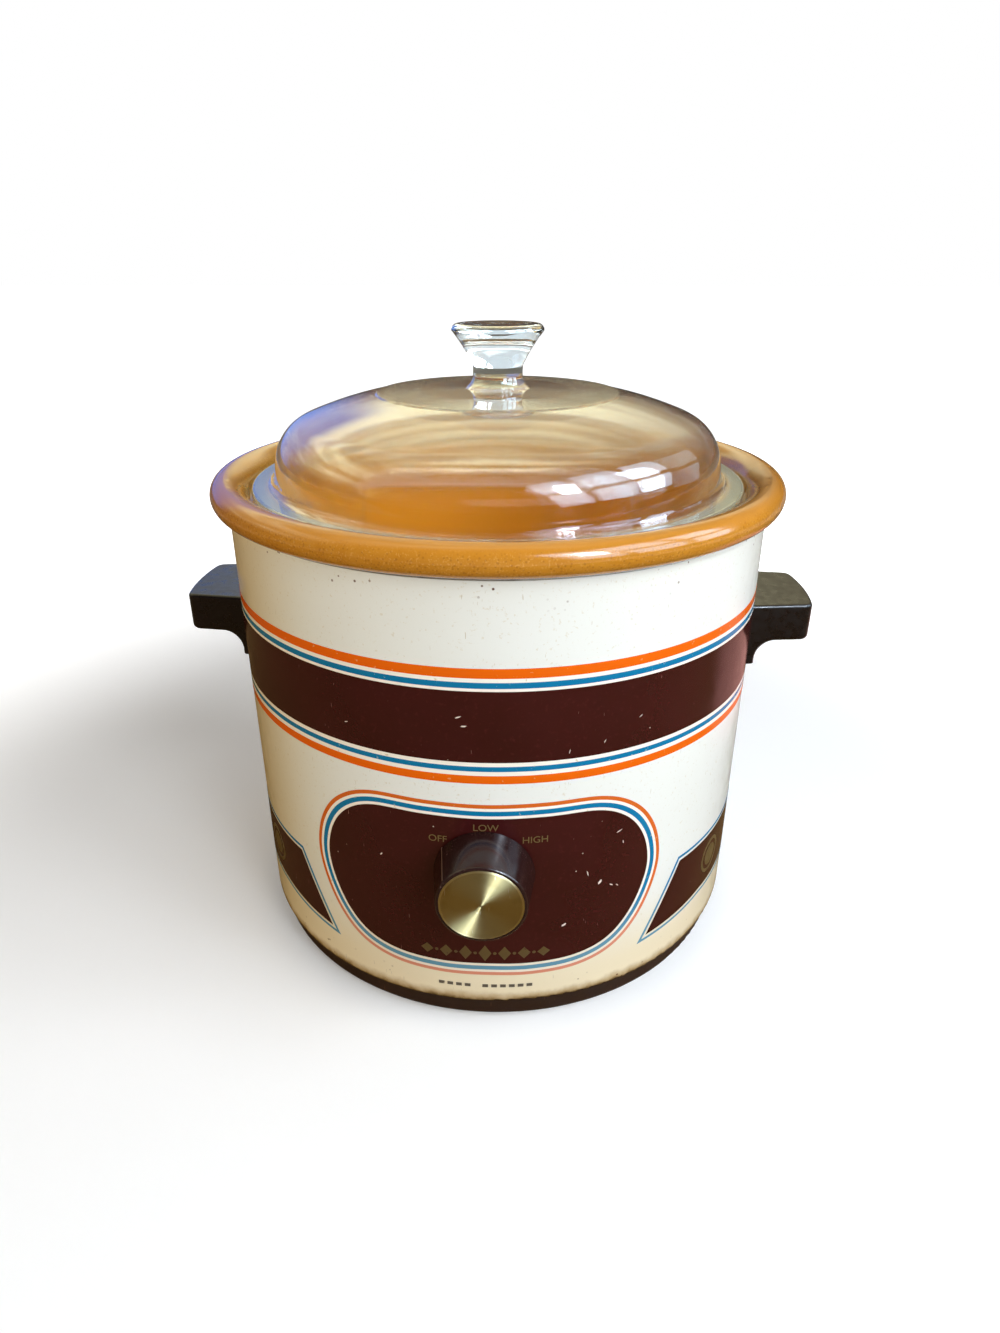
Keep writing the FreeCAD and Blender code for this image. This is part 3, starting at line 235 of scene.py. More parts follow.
def make_enamel():
    """Cream enamel: cloudy and scratched, with painted warm shade on its left side, rusty and stained
    at its edges.
    """
    finish = Finish("cream_enamel", Specular_IOR_Level=0.4)
    colour = finish.mix(finish.noise(45.0, detail=3.0), srgb(227, 233, 233), srgb(222, 227, 224))
    colour = finish.mix(finish.ramp(finish.noise(1.2), 0.62, 0.75), colour, srgb(214, 214, 204))
    # Painted shade: the drum's left side is painted khaki, standing in for the warm, dim light that
    # falls there.
    left_shade = finish.fade(finish.coordinate("X"), ENAMEL_SHADED_LEFT, high=0.7)
    colour = finish.mix(left_shade, colour, srgb(214, 192, 142))
    height = finish.coordinate("Z")
    edge = finish.calc("MULTIPLY_ADD", finish.noise(5.0, detail=5.0), 4.0 * MM, height)
    colour = finish.mix(finish.fade(edge, ENAMEL_TINTED), colour, srgb(226, 216, 188))
    colour = finish.mix(finish.fade(edge, ENAMEL_STAINED), colour, srgb(164, 138, 94))
    colour = finish.mix(finish.fade(edge, ENAMEL_RUSTED), colour, srgb(52, 30, 20))
    speck = finish.ramp(finish.cells(3.4), 0.17, 0.09)
    near_top = finish.fade(height, SPECKS_HIGH)
    near_low = finish.fade(height, SPECKS_LOW)
    rusty = finish.calc("MAXIMUM", near_top, near_low)
    patch = finish.ramp(finish.noise(14.0), 0.5, 0.62)
    amount = finish.calc("MULTIPLY", finish.calc("MULTIPLY", speck, rusty), patch)
    colour = finish.mix(amount, colour, srgb(84, 50, 28))
    colour = add_scratches(finish, colour, srgb(186, 180, 162), (0.5, 2.2), 0.83)
    finish.set(Base_Color=colour, Roughness=finish.uneven(7.0, 4.0, 0.14, 0.24))
    finish.bump(finish.noise(9.0, detail=1.0), 0.05)
    return finish


def make_print(name, colour, faded, flaked, gloss):
    """Printed enamel that fades towards the pot's bottom and is flaked in small spots."""
    finish = Finish(name, Specular_IOR_Level=0.4)
    height = finish.coordinate("Z")
    shade = finish.mix(finish.fade(height, PRINT_FADED), colour, faded)
    shade = finish.mix(finish.ramp(finish.noise(2.0, detail=5.0), 0.66, 0.72), shade, flaked)
    finish.set(Base_Color=shade, Roughness=finish.uneven(5.0, 4.0, gloss, gloss + 0.1))
    finish.bump(finish.noise(9.0, detail=1.0), 0.05)
    return finish


def make_dark_enamel():
    """Maroon enamel with fine pale scratches and chips."""
    finish = Finish("maroon_enamel", Specular_IOR_Level=0.4)
    colour = finish.mix(finish.noise(30.0, detail=3.0), srgb(46, 13, 10), srgb(60, 19, 21))
    colour = finish.mix(finish.ramp(finish.noise(1.6), 0.55, 0.8), colour, srgb(62, 22, 22))
    colour = add_scratches(finish, colour, srgb(128, 100, 94), (0.4, 1.9), 0.86)
    chip = finish.calc("MULTIPLY", finish.ramp(finish.cells(5.0), 0.065, 0.04),
                       finish.ramp(finish.noise(16.0), 0.56, 0.64))
    colour = finish.mix(chip, colour, srgb(196, 180, 168))
    finish.set(Base_Color=colour, Roughness=finish.uneven(6.0, 4.0, 0.12, 0.22))
    finish.bump(finish.noise(8.0, detail=1.0), 0.05)
    return finish


def make_moulding(name, dark, light, gloss, grain=0.8, depth=0.02, shine=0.5):
    """Moulded phenolic or rubber: a mottled colour with a fine grain."""
    finish = Finish(name, Specular_IOR_Level=shine)
    colour = finish.mix(finish.noise(12.0, detail=4.0), dark, light)
    colour = add_scratches(finish, colour, tuple(min(1.0, 3 * level) for level in light), (0.9,), 0.77)
    finish.set(Base_Color=colour, Roughness=finish.uneven(4.0, 3.0, gloss, gloss + 0.14))
    finish.bump(finish.noise(grain, detail=2.0), depth)
    return finish


def make_metal(name, dark, light, gloss):
    """Sheet or turned metal with brush marks that run up and down."""
    finish = Finish(name, Metallic=1.0)
    brushed = finish.noise(0.5, detail=3.0, place=finish.stretched((1.0, 1.0, 0.08)))
    colour = finish.mix(brushed, dark, light)
    stain = finish.ramp(finish.noise(11.0, detail=4.0), 0.5, 0.75)
    colour = finish.mix(stain, colour, tuple(0.6 * level for level in dark[:3]) + (1.0,))
    finish.set(Base_Color=colour, Roughness=finish.calc("MULTIPLY_ADD", brushed, 0.2, gloss))
    finish.bump(brushed, 0.01)
    return finish


def make_spun_brass():
    """The dial's face: brass spun in fine circles, which draw light out into rays from its centre."""
    finish = Finish("spun_brass", Metallic=1.0, Anisotropic=0.95, Anisotropic_Rotation=0.25)
    centre = (0.0, 0.0, DIAL_LEVEL * MM)
    radius = finish.radius(centre, flatten=(1.0, 0.0, 1.0))
    groove = finish.add("ShaderNodeTexNoise", {"W": radius, "Scale": 1 / (0.3 * MM), "Detail": 3.0},
                        noise_dimensions="1D").outputs["Fac"]
    colour = finish.mix(groove, srgb(206, 190, 136), srgb(214, 200, 150))
    tarnish = finish.ramp(finish.noise(9.0, detail=2.0), 0.5, 0.8)
    colour = finish.mix(tarnish, colour, srgb(194, 176, 122))
    colour = add_scratches(finish, colour, srgb(250, 244, 228), (0.5,), 0.77)
    edge = finish.fade(radius, DISC_EDGE)
    colour = finish.mix(edge, colour, srgb(240, 226, 176))
    finish.set(Base_Color=colour, Roughness=finish.ramp(groove, *NOISE_SPAN, 0.46, 0.50))
    tangent = finish.add("ShaderNodeTangent", direction_type="RADIAL", axis="Y")
    finish.set(Tangent=tangent.outputs["Tangent"])
    finish.bump(groove, 0.0012)
    return finish


def make_glaze():
    """Honey glaze over stoneware: amber with brown specks, bare below the rim outside, with painted
    light on the rim's crest and a brighter amber painted in as light on the inside.
    """
    finish = Finish("honey_glaze", Specular_IOR_Level=0.4, Coat_Weight=0.2, Coat_Roughness=0.05)
    colour = finish.mix(finish.noise(5.0, detail=5.0), srgb(174, 112, 24), srgb(192, 134, 44))
    speck = finish.ramp(finish.cells(1.3), 0.34, 0.2)
    colour = finish.mix(finish.calc("MULTIPLY", speck, 0.35), colour, srgb(112, 66, 20))
    fine = finish.ramp(finish.noise(0.7, detail=2.0), 0.56, 0.68)
    colour = finish.mix(finish.calc("MULTIPLY", fine, 0.4), colour, srgb(214, 164, 84))
    height = finish.coordinate("Z")
    # Painted light: the crest gets a lighter amber, as if lit from above. Below the rim the glaze is
    # painted a brighter amber so the crock's inside looks lit.
    colour = finish.mix(finish.fade(height, CROCK_CREST_PAINTED_LIGHT), colour, srgb(192, 128, 38))
    colour = finish.mix(finish.fade(height, CROCK_INSIDE_PAINTED_LIGHT), colour, srgb(206, 132, 34))
    outside = finish.fade(finish.radius(), CROCK_OUTSIDE)
    bare = finish.calc("MULTIPLY", outside, finish.fade(height, CROCK_UNGLAZED))
    colour = finish.mix(bare, colour, srgb(188, 160, 122))
    finish.set(Base_Color=colour, Roughness=finish.uneven(4.0, 3.0, 0.12, 0.18))
    finish.bump(finish.noise(5.0, detail=1.0), 0.02)
    return finish


def make_glass():
    """Pressed glass, faintly green, with a yellower stippled plateau and a milky flange.

    The thin dome lets part of the light straight through, which keeps the pot's inside lit.
    """
    finish = Finish("pressed_glass", Roughness=0.015, IOR=1.52, Coat_Weight=1.0, Coat_Roughness=0.02)
    radius = finish.radius()
    ring = finish.calc("MULTIPLY", finish.fade(radius, STIPPLE_STARTS),
                       finish.fade(radius, STIPPLE_ENDS))
    stipple = finish.calc("MULTIPLY", finish.ramp(finish.cells(1.1), 0.15, 0.6), ring)
    finish.bump(stipple, 0.2)
    finish.bump(finish.noise(14.0, detail=1.0), 0.03)
    grip = finish.fade(finish.coordinate("Z"), GRIP_FOOT)
    plateau = finish.calc("SUBTRACT", finish.fade(radius, PLATEAU_EDGE), grip)
    flange = finish.fade(radius, FLANGE_EDGE)
    tint = finish.mix(finish.noise(30.0), srgb(244, 250, 244), srgb(238, 246, 240))
    tint = finish.mix(plateau, tint, srgb(240, 236, 198))
    tint = finish.mix(flange, tint, srgb(184, 202, 186))
    cloudy = finish.calc("MULTIPLY", finish.calc("MULTIPLY_ADD", ring, 0.2, 0.2), plateau)
    milky = finish.calc("MAXIMUM", finish.calc("MULTIPLY", flange, 0.4), cloudy)
    facing = finish.add("ShaderNodeLayerWeight", {"Blend": 0.35}).outputs["Facing"]
    thin = finish.ramp(facing, 0.1, 0.9, 0.4, 1.0)
    finish.set(Base_Color=tint, Transmission_Weight=finish.calc("SUBTRACT", 1.0, milky),
               Alpha=finish.calc("MAXIMUM", thin, grip))
    return finish


def make_knob_plastic():
    """Glossy plum-brown moulding of the dial's skirt."""
    finish = Finish("knob_plum", Specular_IOR_Level=0.4, Coat_Weight=0.15, Coat_Roughness=0.08)
    colour = finish.mix(finish.noise(6.0, detail=4.0), srgb(30, 14, 12), srgb(42, 22, 22))
    colour = add_scratches(finish, colour, srgb(110, 92, 92), (0.3, 1.9), 0.8)
    finish.set(Base_Color=colour, Roughness=finish.uneven(3.0, 3.0, 0.14, 0.24))
    finish.bump(finish.noise(4.0, detail=1.0), 0.03)
    return finish


# A finish for each of the record's material slots, and for nodes that need one of their own.
FINISHES = {
    "enamel": make_enamel(),
    "base_moulding": make_moulding("base_brown", srgb(34, 20, 15), srgb(48, 30, 22), 0.35),
    "rubber": make_moulding("foot_rubber", srgb(24, 23, 22), srgb(36, 34, 32), 0.65,
                            grain=0.5, depth=0.05),
    "liner_aluminium": make_metal("liner_aluminium_brushed", srgb(168, 168, 166), srgb(206, 206, 204),
                                  0.3),
    "zinc_steel": make_metal("zinc_plate", srgb(150, 150, 146), srgb(196, 196, 190), 0.28),
    "spring_steel": make_metal("spring_temper", srgb(110, 112, 118), srgb(160, 160, 164), 0.22),
    "heater_wrap": make_moulding("heater_mica_wrap", srgb(150, 138, 112), srgb(186, 172, 142), 0.5,
                                 grain=2.0, depth=0.1),
    "brass": make_metal("contact_brass", srgb(170, 136, 66), srgb(214, 184, 112), 0.25),
    "switch_phenolic": make_moulding("switch_black", srgb(20, 17, 16), srgb(34, 29, 27), 0.4),
    "handle_phenolic": make_moulding("handle_brown", srgb(10, 4, 3), srgb(18, 8, 7), 0.24,
                                     depth=0.008, shine=0.4),
    "fibre": make_moulding("washer_fibre", srgb(96, 58, 38), srgb(126, 80, 54), 0.6,
                           grain=0.4, depth=0.05),
    "knob_phenolic": make_knob_plastic(),
    "lead_insulation": make_moulding("lead_braid", srgb(206, 200, 186), srgb(226, 222, 210), 0.55,
                                     grain=0.5, depth=0.12),
    "stoneware_glaze": make_glaze(),
    "clear_glass": make_glass(),
}
NODE_FINISHES = {"knob_disc": make_spun_brass()}


def finish_cad_nodes():
    """Give every CAD node its procedural finish in place of the record's plain one."""
    for name, node in frame["nodes"].items():
        for material_slot in node.material_slots:
            slot_name = material_slot.material.name.split(".")[0]
            material_slot.material = NODE_FINISHES.get(name, FINISHES[slot_name]).material


# ---------------------------------------------------------------------------------- flat outlines

def offset_outline(points, distance):
    """A counterclockwise outline's points moved outward, with square corners."""
    moved = []
    for index, point in enumerate(points):
        before = (point - points[index - 1]).normalized()
        after = (points[(index + 1) % len(points)] - point).normalized()
        normal = Vector((before.y + after.y, -before.x - after.x)).normalized()
        miter = normal.dot(Vector((before.y, -before.x)))
        moved.append(point + normal * distance / miter)
    return moved


def smooth_outline(corners, steps=8):
    """A closed curve through corners."""
    points = []
    count = len(corners)
    for index in range(count):
        before, start, end, after = (corners[(index + shift) % count] for shift in (-1, 0, 1, 2))
        for step in range(steps):
            t = step / steps
            points.append(0.5 * (2 * start + (end - before) * t
                                 + (2 * before - 5 * start + 4 * end - after) * t ** 2
                                 + (3 * start - before - 3 * end + after) * t ** 3))
    return points


def divided(corners, step=PRINT_STEP):
    """A closed straight-sided outline with points no further apart than step."""
    points = []
    for index, start in enumerate(corners):
        end = corners[(index + 1) % len(corners)]
        pieces = max(1, math.ceil((end - start).length / step))
        points += [start.lerp(end, piece / pieces) for piece in range(pieces)]
    return points


def circle(centre, radius, count=32):
    """A circle's points, counterclockwise."""
    turns = [2 * math.pi * index / count for index in range(count)]
    return [Vector(centre) + radius * Vector((math.cos(turn), math.sin(turn))) for turn in turns]


# ------------------------------------------------------------------------------ prints on the drum

def on_shell(point, height_above):
    """The place over an (arc, height) print point, height_above off the shell."""
    turn = point[0] / SHELL_RADIUS
    reach = (SHELL_RADIUS + height_above) * MM
    return Vector((reach * math.sin(turn), -reach * math.cos(turn), point[1] * MM))


class Print:
    """Flat shapes in one colour, wrapped on the shell as one thin layer of enamel."""

    def __init__(self):
        self.points = []
        self.faces = []

    def strip(self, inner, outer):
        """The area between two closed outlines with equally many points."""
        first = len(self.points)
        count = len(inner)
        self.points += list(inner) + list(outer)
        for index in range(count):
            following = (index + 1) % count
            self.faces.append((first + index, first + following,
                               first + count + following, first + count + index))

    def stripe(self, low, high):
        """A level stripe right round the drum."""
        count = math.ceil(GIRTH / PRINT_STEP)
        arcs = [GIRTH * index / count for index in range(count)]
        self.strip([Vector((arc, high)) for arc in arcs], [Vector((arc, low)) for arc in arcs])

    def area(self, outline, step=PRINT_STEP):
        """The area inside one closed outline, filled with triangles small enough to bend."""
        arcs = [point.x for point in outline]
        heights = [point.y for point in outline]
        points = list(outline)
        border = [(index, (index + 1) % len(outline)) for index in range(len(outline))]
        inset = offset_outline(outline, -step / 2)
        for column in range(math.ceil((max(arcs) - min(arcs)) / step)):
            for row in range(math.ceil((max(heights) - min(heights)) / step)):
                spot = Vector((min(arcs) + (column + 0.5) * step, min(heights) + (row + 0.5) * step))
                if is_inside(spot, inset):
                    points.append(spot)
        points, _, faces, _, _, _ = delaunay_2d_cdt(points, border, [], 1, 1e-4)
        first = len(self.points)
        self.points += points
        self.faces += [tuple(first + index for index in face) for face in faces]

    def words(self, text, centre, size):
        """Plain lettering, centred."""
        curve = bpy.data.curves.new(text, "FONT")
        curve.body = text
        curve.size = size
        curve.align_x = "CENTER"
        curve.align_y = "CENTER"
        letter_object = bpy.data.objects.new(text, curve)
        mesh = bpy.data.meshes.new_from_object(letter_object)
        first = len(self.points)
        self.points += [vertex.co.to_2d() + Vector(centre) for vertex in mesh.vertices]
        self.faces += [tuple(first + index for index in polygon.vertices) for polygon in mesh.polygons]
        for block in (letter_object, curve, mesh):
            bpy.data.batch_remove([block])

    def build(self, name, finish, slot, lift):
        """Make the printed piece and let it ride on the housing."""
        mesh = bmesh.new()
        vertices = [mesh.verts.new(on_shell(point, lift + PRINT_THICKNESS)) for point in self.points]
        for face in self.faces:
            mesh.faces.new([vertices[index] for index in face])
        bmesh.ops.remove_doubles(mesh, verts=mesh.verts, dist=WELD * MM)
        for face in mesh.faces:
            middle = face.calc_center_median()
            if face.normal.dot(Vector((middle.x, middle.y, 0))) < 0:
                face.normal_flip()
        sides = bmesh.ops.extrude_face_region(mesh, geom=list(mesh.faces), use_keep_orig=True)
        moved = [item for item in sides["geom"] if isinstance(item, bmesh.types.BMVert)]
        shrink = 1 - PRINT_THICKNESS / SHELL_RADIUS
        for vertex in moved:
            vertex.co.x *= shrink
            vertex.co.y *= shrink
        bmesh.ops.recalc_face_normals(mesh, faces=mesh.faces)
        make_piece(name, mesh, finish, "housing")


def is_inside(spot, outline):
    """Whether a point lies inside a closed outline."""
    crossings = 0
    for index, end in enumerate(outline):
        start = outline[index - 1]
        if (start.y > spot.y) != (end.y > spot.y):
            across = start.x + (spot.y - start.y) / (end.y - start.y) * (end.x - start.x)
            crossings += across > spot.x
    return crossings % 2 == 1


def make_piece(name, mesh, finish, body):
    """A Blender object from a bmesh, riding on a CAD body."""
    data = bpy.data.meshes.new(name)
    mesh.to_mesh(data)
    mesh.free()
    data.shade_smooth()
    data.set_sharp_from_angle(angle=math.radians(SMOOTH_BELOW))
    data.materials.append(finish.material)
    piece = bpy.data.objects.new(name, data)
    bpy.context.scene.collection.objects.link(piece)
    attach(piece, body)


def mirrored(half):
    """A closed outline from its right half, listed from the bottom middle up to the top middle."""
    points = [Vector(point) for point in half]
    return points + [Vector((-point.x, point.y)) for point in reversed(points[1:-1])]


# The panel's dark field: its right half, from the bottom middle to the top middle.
PANEL_HALF = (
    (0, 32.4), (18, 32.2), (36, 33.4), (49, 37.8), (58, 46.5), (64, 58.5), (66, 70.5),
    (62.6, 83.5), (54.5, 94.2), (42, 100.2), (22, 100.8), (0, 100.6),
)
# Colours and widths of the lines round the panel, outward.
PANEL_LINES = (("pale", 1.2), ("blue", 2.0), ("pale", 1.2), ("rust", 1.6))
# Stripes round the drum: colour, low edge, high edge.
STRIPES = (
    ("orange", 156.3, 159.9),
    ("pale", 154.8, 156.3),
    ("blue", 152.6, 154.8),
    ("pale", 151.5, 152.6),
    ("dark", 124.0, 151.5),
    ("pale", 122.4, 124.0),
    ("blue", 120.4, 122.4),
    ("pale", 118.7, 120.4),
    ("orange", 115.4, 118.7),
)
# The rear decal's right half: a tip low at the front, a slanted end and level edges to the back.
DECAL_TIP = (64.5, 27.3)
DECAL_HEEL = (104.0, 31.5)
DECAL_TOP = (84.5, 62.3)
DECAL_LINE = 1.2
DECAL_GAP = 1.2
# The decal's medallions: a disc in a ring, both given as shares of the radius.
MOTIF_LEVEL = 47.5
MOTIF_RADIUS = 8.5
MOTIF_RING = 0.82
MOTIF_DISC = 0.6
MOTIF_COUNT = 7
MOTIF_FIRST = 113.0
# The dial's words.
WORDS = (("OFF", (-17.0, 90.6)), ("LOW", (0.6, 96.6)), ("HIGH", (18.6, 91.0)))
WORD_SIZE = 4.0
# The lozenges low on the panel, the same number each side of the middle one, with dots between.
LOZENGE_LEVEL = 37.6
LOZENGE_PITCH = 7.6
LOZENGE_SIDE_COUNT = 3
LOZENGE_HALF_WIDTH = 2.5
LOZENGE_HALF_HEIGHT = 4.0
LOZENGE_DWINDLE = 0.55
LOZENGE_DOT = 0.7
# The line of short bars under the panel, with one place left out.
MARK_LEVEL = 20.6
MARK_HEIGHT = 1.5
MARK_WIDTH = 2.3
MARK_FIRST = -17.5
MARK_PITCH = 3.5
MARK_PLACES = 11
MARK_SPACE = 4
# Chips in the dark enamel: (arc, height), length, width, and the way they run in degrees.
CHIPS = (
    ((44.5, 66.8), 2.4, 1.1, 60), ((39.2, 72.2), 2.6, 0.35, 105), ((49.5, 64.0), 1.8, 0.4, 150),
    ((52.2, 63.0), 1.5, 0.35, 140), ((30.5, 49.4), 2.2, 0.9, 35), ((51.5, 88.5), 2.6, 0.3, 25),
    ((53.5, 83.0), 1.6, 0.3, 100), ((-8.4, 141.6), 2.4, 0.5, 25), ((-6.6, 138.2), 2.2, 0.6, 10),
    ((-40.0, 78.5), 1.4, 0.5, 60), ((57.0, 136.0), 1.6, 0.3, 40), ((-51.0, 132.6), 1.5, 0.3, 20),
    ((30.0, 127.0), 1.8, 0.25, 80), ((43.0, 129.0), 1.4, 0.25, 65),
)
# A chip's outline, as shares of its half length and half width.
CHIP_OUTLINE = ((-1, 0), (-0.3, -0.8), (0.4, -1), (1, 0.1), (0.3, 0.7), (-0.5, 1))
# Each print's colour, how it looks faded, how it looks flaked, and its gloss.
PRINT_COLOURS = {
    "pale": (srgb(240, 238, 230), srgb(226, 220, 204), srgb(214, 202, 176), 0.16),
    "blue": (srgb(8, 114, 162), srgb(92, 142, 166), srgb(120, 160, 176), 0.16),
    "orange": (srgb(224, 98, 10), srgb(214, 140, 112), srgb(216, 148, 92), 0.16),
    "rust": (srgb(204, 98, 34), srgb(206, 136, 112), srgb(206, 146, 104), 0.16),
    "grey": (srgb(92, 84, 74), srgb(92, 84, 74), srgb(150, 138, 116), 0.3),
    "gold": (srgb(98, 82, 46), srgb(84, 68, 40), srgb(66, 42, 30), 0.3),
}


def decorate_shell():
    """Print the shell, a piece for each colour, and chip the dark enamel."""
    layers = {colour: Print() for colour in ("pale", "blue", "orange", "rust", "dark", "grey", "gold")}
    for colour, low, high in STRIPES:
        layers[colour].stripe(low, high)
    add_panel(layers)
    add_decal(layers)
    for word, centre in WORDS:
        layers["gold"].words(word, centre, WORD_SIZE)
    add_ornament(layers["gold"])
    add_marks(layers["grey"])

    overprint = PRINT_LIFT + PRINT_THICKNESS
    for colour, layer in layers.items():
        if colour == "dark":
            finish = make_dark_enamel()
        else:
            finish = make_print(f"print_{colour}_enamel", *PRINT_COLOURS[colour])
        lift = overprint if colour == "gold" else PRINT_LIFT
        layer.build(f"print_{colour}", finish, "enamel", lift)

    chips = Print()
    add_chips(chips)
    bare = make_print("chip_undercoat", srgb(226, 214, 204), srgb(222, 208, 196),
                      srgb(150, 120, 104), 0.5)
    chips.build("chips", bare, "enamel", overprint)


def add_panel(layers):
    """The dial's panel: a dark field with lines round it."""
    panel = smooth_outline(mirrored(PANEL_HALF))
    layers["dark"].area(panel)
    edge = panel
    reach = 0.0
    for colour, width in PANEL_LINES:
        reach += width
        following = offset_outline(panel, reach)
        layers[colour].strip(edge, following)
        edge = following


def add_decal(layers):
    """The decal round the back: a dark field in a blue line, with a row of medallions."""
    back = GIRTH / 2
    half = [(back, DECAL_HEEL[1]), DECAL_HEEL, DECAL_TIP, DECAL_TOP, (back, DECAL_TOP[1])]
    right = [Vector(point) for point in half]
    left = [Vector((GIRTH - point.x, point.y)) for point in reversed(right[1:-1])]
    # Seen from outside the arc runs to the right, so the outline is turned to run counterclockwise.
    decal = divided((right + left)[::-1])
    layers["blue"].strip(offset_outline(decal, -DECAL_LINE), decal)
    layers["dark"].area(offset_outline(decal, -DECAL_LINE - DECAL_GAP))
    for index in range(MOTIF_COUNT):
        arc = MOTIF_FIRST + (GIRTH - 2 * MOTIF_FIRST) * index / (MOTIF_COUNT - 1)
        spot = (arc, MOTIF_LEVEL)
        layers["gold"].strip(circle(spot, MOTIF_RING * MOTIF_RADIUS), circle(spot, MOTIF_RADIUS))
        layers["gold"].area(circle(spot, MOTIF_DISC * MOTIF_RADIUS))


def add_ornament(gold):
    """A plain row of lozenges low on the panel, with a dot between each two."""
    for place in range(-LOZENGE_SIDE_COUNT, LOZENGE_SIDE_COUNT + 1):
        tall = LOZENGE_HALF_HEIGHT - LOZENGE_DWINDLE * abs(place)
        wide = LOZENGE_HALF_WIDTH
        centre = Vector((LOZENGE_PITCH * place, LOZENGE_LEVEL))
        corners = [Vector((0, -tall)), Vector((wide, 0)), Vector((0, tall)), Vector((-wide, 0))]
        gold.area(divided([centre + corner for corner in corners]))
    for place in range(-LOZENGE_SIDE_COUNT, LOZENGE_SIDE_COUNT):
        gold.area(circle((LOZENGE_PITCH * (place + 0.5), LOZENGE_LEVEL), LOZENGE_DOT, count=12))


def add_marks(grey):
    """A level line of short bars under the panel."""
    for place in range(MARK_PLACES):
        if place == MARK_SPACE:
            continue
        left = MARK_FIRST + MARK_PITCH * place - MARK_WIDTH / 2
        low = MARK_LEVEL - MARK_HEIGHT / 2
        grey.area([Vector((left, low)), Vector((left + MARK_WIDTH, low)),
                   Vector((left + MARK_WIDTH, low + MARK_HEIGHT)), Vector((left, low + MARK_HEIGHT))])


def add_chips(chips):
    """Small pale chips in the dark enamel, each a narrow spindle."""
    for centre, length, width, angle in CHIPS:
        along = Vector((math.cos(math.radians(angle)), math.sin(math.radians(angle))))
        across = Vector((-along.y, along.x))
        chips.area([Vector(centre) + along * x * length / 2 + across * y * width / 2
                    for x, y in CHIP_OUTLINE])


# ------------------------------------------------------------------------------------ dial marking

# The pointer line: how far it stands round from the top, how far it stops short of the skirt's back
# and front, the skirt's radius where it stops at the front, and its own half width and height.
POINTER_TURN = 55
POINTER_BACK_GAP = 0.6
POINTER_FRONT_GAP = 1.2
POINTER_FRONT_RADIUS = 16.5
POINTER_HALF_WIDTH = 0.3
POINTER_PROUD = 0.12
POINTER_STEPS = 12
# Its section, as shares of the half width and height.
POINTER_SECTION = ((-1, -1), (-0.7, 1), (0.7, 1), (1, -1))


def make_pointer():
    """The line moulded along the dial's skirt, which stands at OFF."""
    turn = math.radians(POINTER_TURN)
    back_reach = -SKIRT_HIGH.y / MM - POINTER_BACK_GAP
    front_reach = -SKIRT_LOW.y / MM - POINTER_FRONT_GAP
    back_radius = (SKIRT_HIGH.x - SKIRT_LOW.x) / 2 / MM
    mesh = bmesh.new()
    rows = []
    for step in range(POINTER_STEPS + 1):
        along = step / POINTER_STEPS
        reach = back_reach + (front_reach - back_reach) * along
        radius = back_radius + (POINTER_FRONT_RADIUS - back_radius) * along
        row = []
        for sideways, lift in POINTER_SECTION:
            angle = turn + sideways * POINTER_HALF_WIDTH / radius
            out = radius + lift * POINTER_PROUD
            spot = Vector((-out * math.sin(angle), -reach, DIAL_LEVEL + out * math.cos(angle)))
            row.append(mesh.verts.new(spot * MM))
        rows.append(row)
    corners = len(POINTER_SECTION)
    for first, second in zip(rows, rows[1:]):
        for index in range(corners):
            following = (index + 1) % corners
            mesh.faces.new((first[index], first[following], second[following], second[index]))
    mesh.faces.new(rows[0][::-1])
    mesh.faces.new(rows[-1])
    bmesh.ops.recalc_face_normals(mesh, faces=mesh.faces)
    paint = make_print("pointer_paint", srgb(104, 84, 76), srgb(104, 84, 76), srgb(66, 46, 42), 0.3)
    make_piece("dial_pointer", mesh, paint, "knob")


# ----------------------------------------------------------------------------- floor, light, camera

# Half the floor's width, and where the floor evens out to white, in metres.
FLOOR_HALF = 8.0
FLOOR_EVENED = (0.24, 0.6)


def make_floor():
    """A plain pale floor, evened out to white away from the pot; gloss and glass see it as beige."""
    finish = Finish("studio_floor", Roughness=0.9, Specular_IOR_Level=0.0)
    pale = finish.mix(finish.noise(60.0, detail=3.0), srgb(240, 243, 246), srgb(244, 247, 250))
    far = finish.ramp(finish.radius(), 0.35, 1.6)
    beige = finish.mix(far, srgb(120, 98, 62), srgb(206, 200, 190))
    direct = finish.ray_is("Camera")
    evened = finish.calc("MULTIPLY", finish.ramp(finish.radius(), *FLOOR_EVENED, 0.13, 1.0), direct)
    finish.set(Base_Color=finish.mix(direct, beige, pale), Emission_Color=(1.0, 1.0, 1.0, 1.0),
               Emission_Strength=evened)
    corners = [(x * FLOOR_HALF, y * FLOOR_HALF, 0) for x, y in ((-1, -1), (1, -1), (1, 1), (-1, 1))]
    mesh = bpy.data.meshes.new("floor")
    mesh.from_pydata(corners, [], [(0, 1, 2, 3)])
    mesh.materials.append(finish.material)
    floor = bpy.data.objects.new("floor", mesh)
    bpy.context.scene.collection.objects.link(floor)


# The point that the lights are turned towards.
MIDDLE = Vector((0, 0, 0.13))
# The kinds of ray that pass a light by: a lamp isn't reflected, and a card lights nothing matt.
LAMP_UNSEEN = ("glossy",)
CARD_UNSEEN = ("diffuse", "camera")


def make_softbox(name, place, aim, width, height, power, colour, unseen):
    """A rectangular light turned towards a point; unseen lists the kinds of ray that pass it by."""
    light = bpy.data.lights.new(name, "AREA")
    light.shape = "RECTANGLE"
    light.size = width
    light.size_y = height
    light.energy = power
    light.color = colour
    lamp = bpy.data.objects.new(name, light)
    lamp.location = place
    lamp.rotation_euler = (Vector(aim) - Vector(place)).to_track_quat("-Z", "Y").to_euler()
    for ray in unseen:
        setattr(lamp, f"visible_{ray}", False)
    bpy.context.scene.collection.objects.link(lamp)
    return lamp


